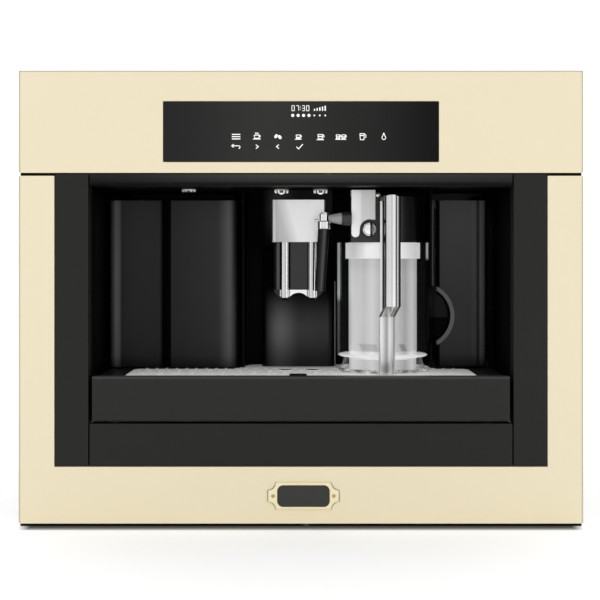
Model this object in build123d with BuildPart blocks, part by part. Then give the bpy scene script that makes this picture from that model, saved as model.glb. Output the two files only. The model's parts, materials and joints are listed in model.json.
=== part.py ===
from build123d import *
import os
from math import cos, radians, sin

# Built-in coffee machine. Millimetres, +Z up, X to the right as seen from the front, and -Y towards
# the user. The origin is the middle of the footprint, on the niche floor.

# ---- front: widths, then heights from the niche floor upwards ----
width = 595.0
depth = 400.0
opening_half = 223.0        # half of the cavity's opening
side_strip_w = 35.7
foot_gap = 3.0              # under the front frame
bottom_rail_h = 59.7
lower_panel_h = 45.3
drawer_gap = 3.0            # over the lower panel
drawer_h = 46.6
opening_h = 201.1
lintel_h = 12.5
lintel_gap = 1.5            # lintel to control fascia
frame_gap = 3.2             # cream frame to control fascia
fascia_h = 107.7
front_t = 22.0              # fronts stand this far ahead of the steel body
front_wall = 2.0
front_set_back = 1.0        # black fronts lie this far behind the cream ones
seam = 0.6                  # seam between neighbouring fronts
front_corner_r = 1.5

# ---- touch glass ----
glass_half = 145.3
glass_h = 63.8
glass_over_edge = 11.5      # lower edge of the glass over the fascia's
glass_t = 3.0
glass_gap = 0.3
glass_ledge = 5.0

# ---- steel body ----
body_half = 264.0
sheet = 2.0
body_over_floor = 8.0
body_under_top = 8.4        # top cover under the fascia's top
deck_under_drawer = 2.6     # deck under the drawer front
mid_deck_over_lintel = 2.8
wall_t = 2.5                # moulded walls of the cavity
fit = 0.3                   # clearance where a piece slides or sits in another
running = 0.05              # radial clearance of a pin in its bore

# ---- cavity, depths from the front face ----
panel_depth = 100.0         # front of the service door and of the tank
recess_depth = 151.0        # back wall in the middle
rooms_depth = 335.0         # rear end of the brewing room and the tank room
brew_room_half = 64.5       # divider at the left, from the middle
tank_room_x = 146.3         # divider at the right
panel_under_lintel = 10.8   # top edge of door and tank front

# ---- service door ----
door_edge_gap = 4.0         # to the cavity's left side
door_w = 150.0
door_h = 188.8
door_t = 16.0
door_skin = 3.0
door_round = 13.0
door_groove_x = 63.0        # from the door's left edge
door_groove_w = 8.0
door_groove_d = 2.5
hinge_in_x = 7.0            # hinge axis from the door's left edge
hinge_in_y = 8.0            # and from its front face
hinge_pin_r = 2.5
lug_t = 1.0

# ---- water tank ----
tank_front_w = 56.7
tank_edge_gap = 6.0         # tank front to the divider at its left
tank_h = 187.8
tank_l = 222.0
tank_wall = 2.5
tank_front_t = 14.0
tank_round = 13.0
grip_r = 37.7               # round finger recess in the tank's left edge
grip_in = 19.3              # how far it reaches into the front
grip_bevel = 6.0
grip_over_base = 57.0       # centre of the recess over the tank's base

# ---- coffee spout ----
spout_x = -2.6
spout_w = 57.6
spout_depth = 40.0          # front of the spout from the front face
spout_cover_h = 45.9
spout_body_h = 52.0
spout_top_under_lintel = 12.6
spout_round = 7.0
cover_t = 2.0
outlet_pitch = 30.0         # between the two outlet tubes
outlet_r = 5.2
outlet_bore_r = 3.4
outlet_below = 8.6          # tube ends under the black body

# ---- centre column ----
column_depth = 84.0         # front of the upper housing
column_half_w = 47.0
column_x = -12.0            # middle of the upper housing
column_under_h = 63.5       # height of the upper housing under the lintel
pillar_depth = 118.0
pillar_half_w = 42.0
pillar_x = -3.0
pillar_round = 9.0
guide_w = 24.0
guide_neck = 12.0
guide_l = 88.0

# ---- milk jug ----
jug_x = 91.4
jug_depth = 80.0            # jug's axis from the front face
jug_r = 50.2
jug_wall = 2.0
liner_r = 38.0
liner_wall = 1.8
lid_r = 37.4
jug_over_grille = 0.5       # clears the drawer front's top edge too
foot_ring_r = 52.0
foot_ring_h = 4.5
base_disc_h = 16.8          # clear disc over the jug's foot
base_disc_t = 5.0
lid_under_lintel = 7.8
lid_h = 51.0                # over the band
band_h = 17.9
handle_w = 16.2
handle_turn = 11.0          # degrees, towards the right
handle_root = 52.5          # from the jug's axis to the line that the turn is about
strap_t = 3.0
finger_gap = 20.0           # between the strap and the grip
grip_t = 7.0
grip_bottom_under_lid = 119.3
grip_step_h = 13.5

# ---- jug lid fittings ----
froth_x = 67.6              # middle of the chrome cover
froth_w = 26.2
froth_depth = 33.0
froth_h = 32.5
froth_top_over_lid = 5.8
tongue_w = 9.0
tongue_h = 19.0
button_x = 74.3
button_r = 7.5
button_under_cover = 10.2   # its axis under the cover's lower edge
button_travel = 3.0

# ---- milk spout ----
milk_x = 24.6               # elbow's axis
milk_depth = 30.0
milk_arm_r = 4.8
milk_collar_r = 7.8
milk_neck_r = 5.6
milk_tube_r = 6.2           # at the collar, tapering to the lower end
milk_tip_r = 5.7
milk_bore_r = 3.2
milk_top_over_lid = -16.0   # arm's axis against the lid's top
milk_tube_l = 67.0
milk_lean = 3.6             # degrees
milk_hub_x = 38.5

# ---- drip drawer ----
drawer_half = 220.3
drawer_front_t = 15.0
tray_half = 216.0
tray_wall = 2.5
tray_top_under = 0.3        # rim and grille under the drawer front's top edge
tray_l = 134.0
well_l = 148.0              # well for the grounds, behind the drip basin
well_x = -56.0              # its right side
grille_half = 188.0
grille_t = 1.5
grille_side_l = 96.0        # length at the sides
grille_slot_l = 9.0
grille_slot_w = 2.4
grille_pitch_x = 17.0
grille_pitch_y = 13.0
notch_w = 18.0
notch_d = 4.0
runner_w = 8.0
container_wall = 2.0

# ---- levels and depths worked out from the sizes above ----
front = -depth / 2
z_rail = foot_gap + bottom_rail_h
z_lower = z_rail + lower_panel_h
z_drawer = z_lower + drawer_gap
z_open = z_drawer + drawer_h
z_lintel = z_open + opening_h
z_lintel_top = z_lintel + lintel_h
z_fascia = z_lintel_top + lintel_gap
z_top = z_fascia + fascia_h
z_deck = z_drawer - deck_under_drawer          # top face of the deck
z_mid = z_lintel + mid_deck_over_lintel        # lower face of the middle deck
z_cover = z_top - body_under_top               # top face of the steel body
z_tray = z_open - tray_top_under               # rim of the tray, top of the grille
z_panels = z_lintel - panel_under_lintel       # top edge of the door and the tank front
strip_outer = opening_half + 1.5 + side_strip_w
inner_half = body_half - sheet

os.makedirs("parts", exist_ok=True)


def y(d):
    """Y of a point that lies d behind the front face."""
    return front + d


def block(xs, ds, zs, mode=Mode.ADD):
    """Box between two x, two depths and two heights."""
    size = (xs[1] - xs[0], ds[1] - ds[0], zs[1] - zs[0])
    middle = ((xs[0] + xs[1]) / 2, y((ds[0] + ds[1]) / 2), (zs[0] + zs[1]) / 2)
    with Locations(middle):
        Box(*size, mode=mode)


def upright(x, d, z0, z1, radius, mode=Mode.ADD):
    """Round bar along Z."""
    with Locations((x, y(d), (z0 + z1) / 2)):
        Cylinder(radius, z1 - z0, mode=mode)


def along_y(x, d0, d1, z, radius, mode=Mode.ADD):
    """Round bar along Y."""
    with Locations((x, y((d0 + d1) / 2), z)):
        Cylinder(radius, d1 - d0, rotation=(90, 0, 0), mode=mode)


def along_x(x0, x1, d, z, radius, mode=Mode.ADD):
    """Round bar along X."""
    with Locations(((x0 + x1) / 2, y(d), z)):
        Cylinder(radius, x1 - x0, rotation=(0, 90, 0), mode=mode)


def folded_front(xs, ds, zs, wall=front_wall):
    """Front folded from sheet: a plate with a rim all round, open at the back."""
    block(xs, ds, zs)
    block((xs[0] + wall, xs[1] - wall), (ds[0] + wall, ds[1]), (zs[0] + wall, zs[1] - wall),
          mode=Mode.SUBTRACT)


def save(builder, name):
    """Label a finished piece and write it."""
    builder.part.label = name
    export_step(builder.part, f"parts/{name}.step")


# ---------------------------------------------------------------- fronts
half = width / 2
z_glass = z_fascia + glass_over_edge
with BuildPart() as control_fascia:
    folded_front((-half, half), (0, front_t), (z_fascia, z_top))
    corners = control_fascia.edges().filter_by(Axis.Y).group_by(Axis.Y)[0]
    outer = [e for e in corners if abs(e.center().X) > half - 0.1]
    fillet(outer, front_corner_r)
    ledge = (glass_t, glass_t + front_wall)
    block((-glass_half - glass_ledge, glass_half + glass_ledge), (front_wall, ledge[1]),
          (z_glass - glass_ledge, z_glass + glass_h + glass_ledge))
    block((-glass_half - glass_gap, glass_half + glass_gap), (0, glass_t),
          (z_glass - glass_gap, z_glass + glass_h + glass_gap), mode=Mode.SUBTRACT)
    block((-glass_half + glass_ledge, glass_half - glass_ledge), (glass_t, ledge[1]),
          (z_glass + glass_ledge, z_glass + glass_h - glass_ledge), mode=Mode.SUBTRACT)
save(control_fascia, "control_fascia")

with BuildPart() as display_glass:
    block((-glass_half, glass_half), (0.2, glass_t), (z_glass, z_glass + glass_h))
    fillet(display_glass.edges().filter_by(Axis.Y), 2)
save(display_glass, "display_glass")

frame_inner = strip_outer
with BuildPart() as front_frame:
    block((-half, half), (0, front_t), (foot_gap, z_fascia - frame_gap))
    block((-frame_inner, frame_inner), (0, front_t), (z_rail, z_fascia), mode=Mode.SUBTRACT)
    fillet([e for e in front_frame.edges().filter_by(Axis.Y) if abs(e.center().X) > half - 0.1],
           front_corner_r)
    w = front_wall
    for side in (-1, 1):
        stile = sorted((side * (half - w), side * (frame_inner + w)))
        block(stile, (w, front_t), (foot_gap + w, z_fascia - frame_gap - w), mode=Mode.SUBTRACT)
    block((-half + w, half - w), (w, front_t), (foot_gap + w, z_rail - w), mode=Mode.SUBTRACT)
save(front_frame, "front_frame")

with BuildPart() as side_strips:
    strip_edge = strip_outer - seam
    for side in (-1, 1):
        folded_front(sorted((side * (opening_half + 1.5), side * strip_edge)),
                     (front_set_back, front_t), (z_rail + seam, z_lintel_top))
    edges = side_strips.edges().filter_by(Axis.Y)
    fillet([e for e in edges if abs(e.center().X) > strip_edge - 0.1], front_corner_r)
save(side_strips, "side_strips")

with BuildPart() as lintel:
    folded_front((-opening_half, opening_half), (front_set_back, front_t), (z_lintel, z_lintel_top))
    low_front = lintel.edges().filter_by(Axis.X).group_by(Axis.Y)[0].sort_by(Axis.Z)[0]
    chamfer(low_front, 1.2, 3.5)
save(lintel, "lintel")

with BuildPart() as lower_panel:
    folded_front((-opening_half, opening_half), (front_set_back, front_t), (z_rail + seam, z_lower))
    corners = lower_panel.edges().filter_by(Axis.Y)
    fillet([e for e in corners if e.center().Z > z_lower - 0.1], 2)
save(lower_panel, "lower_panel")
# ---------------------------------------------------------------- steel body
z_base = body_over_floor + sheet               # top face of the base plate
body_front = front_t + sheet                   # inside of the front chassis
body_back = depth - sheet                      # inside of the rear panel
steel_z = (body_over_floor, z_cover)

with BuildPart() as base_plate:
    block((-inner_half, inner_half), (body_front, body_back), (body_over_floor, z_base))
    with Locations((0, y(depth / 2), body_over_floor)):
        with GridLocations(34, 60, 6, 3):
            Box(22, 3, 3 * sheet, mode=Mode.SUBTRACT)
save(base_plate, "base_plate")

with BuildPart() as side_panels:
    for side in (-1, 1):
        block(sorted((side * inner_half, side * body_half)), (body_front, body_back), steel_z)
    vent_z = (z_fascia + z_cover) / 2
    with Locations((0, y(depth * 0.62), vent_z)):
        with GridLocations(1, 16, 1, 8):
            Box(3 * body_half, 3, 44, mode=Mode.SUBTRACT)
save(side_panels, "side_panels")

with BuildPart() as front_chassis:
    block((-body_half, body_half), (front_t, body_front), steel_z)
    block((-opening_half - wall_t, opening_half + wall_t), (0, depth),
          (z_deck, z_mid), mode=Mode.SUBTRACT)
    block((-glass_half, glass_half), (0, depth), (z_glass, z_glass + glass_h), mode=Mode.SUBTRACT)
save(front_chassis, "front_chassis")

grinder_x = -165.0
grinder_d = 216.0
chute_r = 8.0
chute_x = grinder_x + 19
powder_tube_r = 9.0
powder_x = -110.0
with BuildPart() as decks:
    # lower deck, with the runners of the drawer
    block((-inner_half, inner_half), (body_front, body_back), (z_deck - sheet, z_deck))
    tray_base = z_drawer + fit
    for side in (-1, 1):
        middle = side * (tray_half - 2 * runner_w)
        rear = rooms_depth - 30 if side < 0 else front_t + tray_l
        block((middle - runner_w / 2, middle + runner_w / 2), (body_front, rear),
              (z_deck, tray_base - fit))
    # middle deck, with the chutes of the grinder and the powder funnel
    block((-inner_half, inner_half), (body_front, body_back), (z_mid, z_mid + sheet))
    upright(chute_x, grinder_d, z_mid - 1, z_mid + 3, chute_r, mode=Mode.SUBTRACT)
    upright(powder_x, grinder_d, z_mid - 1, z_mid + 3, powder_tube_r + fit, mode=Mode.SUBTRACT)
save(decks, "decks")

# The opening in the top gives the bean hopper and the powder funnel to the hand.
hopper_x = (-218.0, -114.0)
hopper_d = (112.0, 322.0)
funnel_x = (-106.0, -50.0)
funnel_d = (190.0, 246.0)
lid_margin = 3.0
knob_x = -78.0
knob_r = 19.0
knob_d = funnel_d[1] + 44     # clear of the open powder lid
knob_shaft_r = 4.0
lid_t = 3.0
lid_pin_r = 1.5
barrel_r = 3.4
ear_w = 4.0
barrel_in = 12.0            # from the lid's side to its barrel
hinge_back = 4.6            # hinge axis behind the lid's rear edge, clear of the ears
lid_hinge_z = z_cover + fit + barrel_r

with BuildPart() as top_cover:
    block((-inner_half, inner_half), (body_front, body_back), (z_cover - sheet, z_cover))
    for xs, ds in ((hopper_x, hopper_d), (funnel_x, funnel_d)):
        block(xs, ds, (z_cover - 2 * sheet, z_cover + 1), mode=Mode.SUBTRACT)
    upright(knob_x, knob_d, z_cover - 2 * sheet, z_cover + 1, knob_shaft_r + running,
            mode=Mode.SUBTRACT)
    # ears with the pins that the two lids turn on
    for xs, ds in ((hopper_x, hopper_d), (funnel_x, funnel_d)):
        hinge = ds[1] + lid_margin + hinge_back
        for side, edge in ((-1, xs[0] - lid_margin + barrel_in), (1, xs[1] + lid_margin - barrel_in)):
            ear = sorted((edge + side * fit, edge + side * (fit + ear_w)))
            block(ear, (hinge - barrel_r, hinge + barrel_r), (z_cover - 1, lid_hinge_z + barrel_r - 1))
            pin = sorted((edge + side * fit, edge - side * 9))
            along_x(pin[0], pin[1], hinge, lid_hinge_z, lid_pin_r)
save(top_cover, "top_cover")

inlet_x = 170.0
inlet_z = 48.0
inlet_half = (14.0, 10.5)
switch_x = 110.0
switch_half = (8.0, 11.0)
with BuildPart() as rear_panel:
    block((-body_half, body_half), (body_back, depth), steel_z)
    with Locations((0, y(depth), z_cover - 70)):
        with GridLocations(52, 9, 8, 6):
            Box(38, 3 * sheet, 3.5, mode=Mode.SUBTRACT)
    for x, (half_x, half_z) in ((inlet_x, inlet_half), (switch_x, switch_half)):
        block((x - half_x, x + half_x), (body_back - 1, depth + 1),
              (inlet_z - half_z, inlet_z + half_z), mode=Mode.SUBTRACT)
save(rear_panel, "rear_panel")

# ---------------------------------------------------------------- telescopic slides
slide_l = 360.0
slide_d = body_front + 6
slide_h = 45.0
slide_z = 14.0              # lower edge over the niche floor
slide_t = 1.5
slide_w = 12.3              # from the side panel to the outer face
slide_play = 0.4
flange_w = 30.0
screw_r = 2.25
screw_pitch = 320.0
floor_t = 2.0


def slide_channel(side, web, lips_to, zs, ds, t):
    """Channel of one slide member: a web with a lip at its top and its bottom edge."""
    block(sorted((side * web[0], side * web[1])), ds, zs)
    for z0, z1 in ((zs[0], zs[0] + t), (zs[1] - t, zs[1])):
        block(sorted((side * lips_to, side * web[1])), ds, (z0, z1))


outer_x = body_half + slide_w
slide_ds = (slide_d, slide_d + slide_l)
fixed_zs = (slide_z, slide_z + slide_h)
with BuildPart() as slide_fixed:
    for side in (-1, 1):
        slide_channel(side, (outer_x - slide_t, outer_x), body_half + 2, fixed_zs, slide_ds, slide_t)
        block(sorted((side * (outer_x - slide_t), side * outer_x)), slide_ds, (0, slide_z))
        block(sorted((side * (outer_x - flange_w), side * outer_x)), slide_ds, (0, floor_t))
    screw_x = outer_x - flange_w + 7
    with Locations((0, y(slide_d + slide_l / 2), floor_t / 2)):
        with GridLocations(2 * screw_x, screw_pitch, 2, 2):
            Cylinder(screw_r, 2 * floor_t, mode=Mode.SUBTRACT)
save(slide_fixed, "slide_fixed")

step = slide_t + slide_play
mid_zs = (fixed_zs[0] + step, fixed_zs[1] - step)
mid_web = outer_x - slide_t - slide_play
with BuildPart() as slide_middle:
    for side in (-1, 1):
        slide_channel(side, (mid_web - slide_t, mid_web), body_half + 2.4, mid_zs, slide_ds, slide_t)
save(slide_middle, "slide_middle")

in_zs = (mid_zs[0] + step, mid_zs[1] - step)
with BuildPart() as slide_inner:
    for side in (-1, 1):
        block(sorted((side * body_half, side * (body_half + slide_t))), slide_ds, in_zs)
        for z0, z1 in ((in_zs[0], in_zs[0] + slide_t), (in_zs[1] - slide_t, in_zs[1])):
            block(sorted((side * body_half, side * (mid_web - slide_t - slide_play))), slide_ds,
                  (z0, z1))
save(slide_inner, "slide_inner")

# ---------------------------------------------------------------- cavity
z_room = z_tray + 0.9                          # lower edge of the cavity's walls
lamp_r = 8.0
lamp_places = ((-21.7, 74.0), (21.7, 74.0), (-125.0, 74.0))
with BuildPart() as cavity_ceiling:
    block((-opening_half, opening_half), (body_front, recess_depth + wall_t), (z_mid - wall_t, z_mid))
    for x, d in lamp_places:
        upright(x, d, z_mid - 2 * wall_t, z_mid - 1, lamp_r + fit, mode=Mode.SUBTRACT)
save(cavity_ceiling, "cavity_ceiling")

with BuildPart() as cavity_lamps:
    for x, d in lamp_places:
        upright(x, d, z_mid - wall_t - 1.5, z_mid - 1, lamp_r)
        with Locations((x, y(d), z_mid - wall_t - 1.5)):
            Cone(lamp_r - 3, lamp_r - 1, 3, mode=Mode.SUBTRACT)
save(cavity_lamps, "cavity_lamps")

with BuildPart() as cavity_walls:
    for side in (-1, 1):
        block(sorted((side * opening_half, side * (opening_half + wall_t))),
              (body_front, rooms_depth), (z_deck, z_mid))
        # foot that screws to the deck
        block(sorted((side * opening_half, side * (opening_half + 12))),
              (body_front, rooms_depth), (z_deck, z_deck + sheet))
save(cavity_walls, "cavity_walls")

brew_wall = (-brew_room_half - wall_t, -brew_room_half)
tank_wall_x = (tank_room_x, tank_room_x + wall_t)
with BuildPart() as cavity_back:
    back = (recess_depth, recess_depth + wall_t)
    wall_z = (z_room, z_mid - wall_t)
    block((brew_wall[0], tank_wall_x[1]), back, wall_z)
    block(brew_wall, (panel_depth + 6, rooms_depth), wall_z)
    block(tank_wall_x, (panel_depth, rooms_depth), wall_z)
    # finger room beside the tank front
    grip_x = tank_room_x + wall_t + tank_edge_gap + grip_in - grip_r
    grip_z = z_panels - tank_h + grip_over_base
    along_y(grip_x, panel_depth - 1, panel_depth + 30, grip_z, grip_r - 4, mode=Mode.SUBTRACT)
    along_y(jug_x, recess_depth - 1, recess_depth + 2 * wall_t, z_lintel - 34, 6,
            mode=Mode.SUBTRACT)
save(cavity_back, "cavity_back")

with BuildPart() as spout_column:
    housing_z = z_lintel - column_under_h
    housing = (column_x - column_half_w, column_x + column_half_w)
    block(housing, (column_depth, recess_depth), (housing_z, z_mid - wall_t))
    edges = spout_column.edges().filter_by(Axis.Y)
    fillet([e for e in edges if e.center().Z < housing_z + 0.1], 9)
    block((pillar_x - pillar_half_w, pillar_x + pillar_half_w), (pillar_depth, recess_depth),
          (z_room, housing_z + 1))
    low = [e for e in spout_column.edges().filter_by(Axis.Z)
           if abs(e.center().Y - y(pillar_depth)) < 0.1]
    fillet(low, pillar_round)
    # rail with a T section that the spout slides on
    guide_z = (z_lintel - 8 - guide_l, z_lintel - 8)
    block((spout_x - guide_neck / 2, spout_x + guide_neck / 2), (column_depth - 8, column_depth + 1),
          guide_z)
    block((spout_x - guide_w / 2, spout_x + guide_w / 2), (column_depth - 12, column_depth - 8),
          guide_z)
save(spout_column, "spout_column")

with BuildPart() as steam_nozzle:
    nozzle_z = z_lintel - 34
    along_y(jug_x, jug_depth + lid_r - 5, recess_depth + 14, nozzle_z, 3)
    along_y(jug_x, recess_depth + wall_t, recess_depth + 14, nozzle_z, 11)
    along_y(jug_x, recess_depth - 6, recess_depth + wall_t, nozzle_z, 5.7)
    along_y(jug_x, 0, depth, nozzle_z, 1.5, mode=Mode.SUBTRACT)
save(steam_nozzle, "steam_nozzle")
# ---------------------------------------------------------------- service door
door_x = (-opening_half + door_edge_gap, -opening_half + door_edge_gap + door_w)
door_z = (z_panels - door_h, z_panels)
hinge_x = door_x[0] + hinge_in_x
hinge_d = panel_depth + hinge_in_y
boss_r = hinge_pin_r + 2.5
boss_l = 18.0
pin_l = 12.0

with BuildPart() as service_door:
    block(door_x, (panel_depth, panel_depth + door_t), door_z)
    uprights = service_door.edges().filter_by(Axis.Z)
    fillet([e for e in uprights if e.center().Y < y(panel_depth + 1)], door_round)
    offset(amount=-door_skin, openings=service_door.faces().sort_by(Axis.Y)[-1])
    groove = (door_x[0] + door_groove_x - door_groove_w / 2, door_x[0] + door_groove_x + door_groove_w / 2)
    block((groove[0] - door_skin, groove[1] + door_skin),
          (panel_depth + 1, panel_depth + door_groove_d + door_skin), door_z)
    block(groove, (panel_depth - 1, panel_depth + door_groove_d), (door_z[0] - 1, door_z[1] + 1),
          mode=Mode.SUBTRACT)
    for z0, z1, bore0, bore1 in (
            (door_z[0], door_z[0] + boss_l, door_z[0] - 1, door_z[0] + pin_l + fit),
            (door_z[1] - boss_l, door_z[1], door_z[1] - pin_l - fit, door_z[1] + 1)):
        upright(hinge_x, hinge_d, z0, z1, boss_r)
        upright(hinge_x, hinge_d, bore0, bore1, hinge_pin_r + running, mode=Mode.SUBTRACT)
save(service_door, "service_door")

with BuildPart() as door_brackets:
    for edge, outward in ((door_z[0], -1), (door_z[1], 1)):
        lug_z = sorted((edge + outward * fit, edge + outward * (fit + lug_t)))
        block((-opening_half, hinge_x + boss_r), (panel_depth + 2, panel_depth + door_t + 18), lug_z)
        flange_z = sorted((edge + outward * fit, edge - outward * 16))
        block((-opening_half, -opening_half + lug_t), (panel_depth + door_t + 4, panel_depth + door_t + 18),
              flange_z)
        pin_z = sorted((edge + outward * (fit + lug_t), edge - outward * pin_l))
        upright(hinge_x, hinge_d, pin_z[0], pin_z[1], hinge_pin_r)
save(door_brackets, "door_brackets")

# ---------------------------------------------------------------- water tank
tank_x0 = tank_wall_x[1] + tank_edge_gap
tank_z = (z_panels - tank_h, z_panels)
with BuildPart() as tank_front:
    block((tank_x0, tank_x0 + tank_front_w), (panel_depth, panel_depth + tank_front_t), tank_z)
    uprights = tank_front.edges().filter_by(Axis.Z).group_by(Axis.Y)[0]
    fillet(uprights.sort_by(Axis.X)[-1], tank_round)
    with Locations((grip_x, y(panel_depth + tank_front_t / 2), grip_z)):
        Cylinder(grip_r - grip_bevel, 2 * tank_front_t, rotation=(90, 0, 0), mode=Mode.SUBTRACT)
    with Locations((grip_x, y(panel_depth + grip_bevel / 2), grip_z)):
        Cone(grip_r - grip_bevel, grip_r, grip_bevel, rotation=(90, 0, 0), mode=Mode.SUBTRACT)
save(tank_front, "tank_front")

vessel_x = (tank_x0, opening_half - 3)
vessel_d = (panel_depth + tank_front_t, panel_depth + tank_l)
vessel_z = (tank_z[0], tank_z[1] - 8)
finger_room = 20.0
outlet_z = tank_z[0] + 14
dock_nozzle_r = 4.0
with BuildPart() as tank_inside:
    block((vessel_x[0] + tank_wall, vessel_x[1] - tank_wall),
          (vessel_d[0] + tank_wall, vessel_d[1] - tank_wall), (vessel_z[0] + tank_wall, vessel_z[1] + 1))
    along_y(grip_x, vessel_d[0] - 1, vessel_d[0] + finger_room + tank_wall, grip_z,
            grip_r - grip_bevel + tank_wall, mode=Mode.SUBTRACT)
with BuildPart() as water_tank:
    block(vessel_x, vessel_d, vessel_z)
    fillet(water_tank.edges().filter_by(Axis.Z).group_by(Axis.Y)[-1], 6)
    along_y(grip_x, vessel_d[0] - 1, vessel_d[0] + finger_room, grip_z, grip_r - grip_bevel,
            mode=Mode.SUBTRACT)
    add(tank_inside.part, mode=Mode.SUBTRACT)
    along_y((vessel_x[0] + vessel_x[1]) / 2, vessel_d[1] - 5, vessel_d[1] + 1, outlet_z,
            dock_nozzle_r + fit, mode=Mode.SUBTRACT)
save(water_tank, "water_tank")

middle = (vessel_x[0] + vessel_x[1]) / 2
dock_rear = vessel_d[1] + fit
with BuildPart() as tank_dock:
    block((tank_wall_x[1], opening_half), (tray_l + 40, rooms_depth), (z_deck + sheet, tank_z[0] - fit))
    block((tank_wall_x[1], opening_half), (dock_rear, rooms_depth), (z_deck + sheet, outlet_z + 30))
    along_y(middle, dock_rear - 6, dock_rear + 2, outlet_z, dock_nozzle_r)
    along_y(middle, dock_rear - 7, rooms_depth + 1, outlet_z, 1.5, mode=Mode.SUBTRACT)
    block((tank_wall_x[1] + 3, opening_half - 15), (tray_l + 43, rooms_depth - 3),
          (z_deck, tank_z[0] - fit - 3), mode=Mode.SUBTRACT)
save(tank_dock, "tank_dock")

# ---------------------------------------------------------------- coffee spout
spout_top = z_lintel - spout_top_under_lintel
cover_z = (spout_top - spout_cover_h, spout_top)
body_z = (cover_z[0] - spout_body_h, spout_top - cover_t)
spout_xs = (spout_x - spout_w / 2, spout_x + spout_w / 2)
spout_back = column_depth - fit
body_xs = (spout_xs[0] + cover_t, spout_xs[1] - cover_t)
body_d = (spout_depth + cover_t, spout_back)
flat_d = spout_depth + 5.0                    # dark flat between the outlet tubes
tube_d = spout_depth + cover_t + outlet_r + fit
tube_xs = (spout_x - outlet_pitch / 2, spout_x + outlet_pitch / 2)

with BuildPart() as spout_cover:
    block(spout_xs, (spout_depth, spout_back), cover_z)
    chamfer(spout_cover.edges().filter_by(Axis.Z).group_by(Axis.Y)[0], 4, 1.2)
    block((body_xs[0], body_xs[1]), (body_d[0], spout_back + 1), (cover_z[0] - 1, body_z[1]),
          mode=Mode.SUBTRACT)
    head_half = guide_w / 2 + fit
    block((spout_x - head_half, spout_x + head_half), (column_depth - 12 - fit, spout_back + 1),
          (body_z[1] - 1, spout_top + 1), mode=Mode.SUBTRACT)
save(spout_cover, "spout_cover")

with BuildPart() as spout_body:
    block(body_xs, body_d, (cover_z[0], body_z[1]))
    block(body_xs, (flat_d, spout_back), body_z)
    low = [e for e in spout_body.edges().filter_by(Axis.Z) if e.center().Z < cover_z[0]]
    fillet([e for e in low if e.center().Y < y(flat_d + 1)], spout_round)
    for x in tube_xs:
        upright(x, tube_d, body_z[0] - 1, cover_z[0] + 12, outlet_r, mode=Mode.SUBTRACT)
    slot_z = (body_z[0] - 1, body_z[1] + 1)
    neck_half = guide_neck / 2 + fit
    block((spout_x - neck_half, spout_x + neck_half), (column_depth - 8 - fit, spout_back + 1), slot_z,
          mode=Mode.SUBTRACT)
    block((spout_x - head_half, spout_x + head_half), (column_depth - 12 - fit, column_depth - 8 + fit),
          slot_z, mode=Mode.SUBTRACT)
save(spout_body, "spout_body")

tube_low = body_z[0] - outlet_below
with BuildPart() as spout_outlet:
    with BuildSketch(Plane.XZ.offset(-y(flat_d - 1))):
        with BuildLine():
            low = tube_low + 1.2
            flat = (outlet_pitch / 2 - outlet_r - 0.5, outlet_pitch / 2 + outlet_r)
            Line((body_xs[0], body_z[0]), (body_xs[1], body_z[0]))
            ThreePointArc((body_xs[1], body_z[0]), (body_xs[1] - 2.2, body_z[0] - 4.6),
                          (spout_x + flat[1], low))
            Line((spout_x + flat[1], low), (spout_x + flat[0], low))
            ThreePointArc((spout_x + flat[0], low), (spout_x, low + 4.2), (spout_x - flat[0], low))
            Line((spout_x - flat[0], low), (spout_x - flat[1], low))
            ThreePointArc((spout_x - flat[1], low), (body_xs[0] + 2.2, body_z[0] - 4.6),
                          (body_xs[0], body_z[0]))
        make_face()
    extrude(amount=-(column_depth - 14 - flat_d))
    # only a thin wall curves round the ends, outside the tubes
    for side in (-1, 1):
        end = sorted((spout_x + side * (outlet_pitch / 2), spout_x + side * (spout_w / 2 - cover_t - 2.6)))
        block(end, (flat_d, column_depth - 16), (body_z[0] - 3.6, body_z[0] + 1), mode=Mode.SUBTRACT)
    for x in tube_xs:
        upright(x, tube_d, tube_low, cover_z[0] + 12, outlet_r)
        upright(x, tube_d, tube_low - 1, cover_z[0] + 8, outlet_bore_r, mode=Mode.SUBTRACT)
save(spout_outlet, "spout_outlet")

# ---------------------------------------------------------------- milk jug
jug_z = z_tray + jug_over_grille
lid_top = z_lintel - lid_under_lintel
lid_z = lid_top - lid_h
band_z = lid_z - band_h
disc_top = jug_z + base_disc_h + base_disc_t
jug_axis = Axis((jug_x, y(jug_depth), 0), (0, 0, 1))
jug_plane = Plane(origin=(jug_x, y(jug_depth), 0), x_dir=(1, 0, 0), z_dir=(0, -1, 0))

with BuildPart() as jug_shell:
    with BuildSketch(jug_plane):
        with BuildLine():
            Polyline((0, disc_top - base_disc_t - 4), (liner_r - 3, disc_top - base_disc_t - 4),
                     (liner_r - 3, jug_z + 1), (liner_r - 0.5, jug_z + 1),
                     (liner_r - 0.5, disc_top - base_disc_t), (jug_r - 5, disc_top - base_disc_t),
                     (jug_r - 5, jug_z), (foot_ring_r - 1, jug_z), (foot_ring_r, jug_z + 1),
                     (foot_ring_r, jug_z + foot_ring_h - 1), (jug_r, jug_z + foot_ring_h + 1),
                     (jug_r, band_z), (jug_r - jug_wall, band_z), (jug_r - jug_wall, disc_top),
                     (0, disc_top), close=True)
        make_face()
    revolve(axis=jug_axis)
save(jug_shell, "jug_shell")

rim_t = 2.0
with BuildPart() as jug_liner:
    upright(jug_x, jug_depth, disc_top, lid_z - rim_t, liner_r)
    upright(jug_x, jug_depth, disc_top + liner_wall, lid_z, liner_r - liner_wall, mode=Mode.SUBTRACT)
save(jug_liner, "jug_liner")

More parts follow.
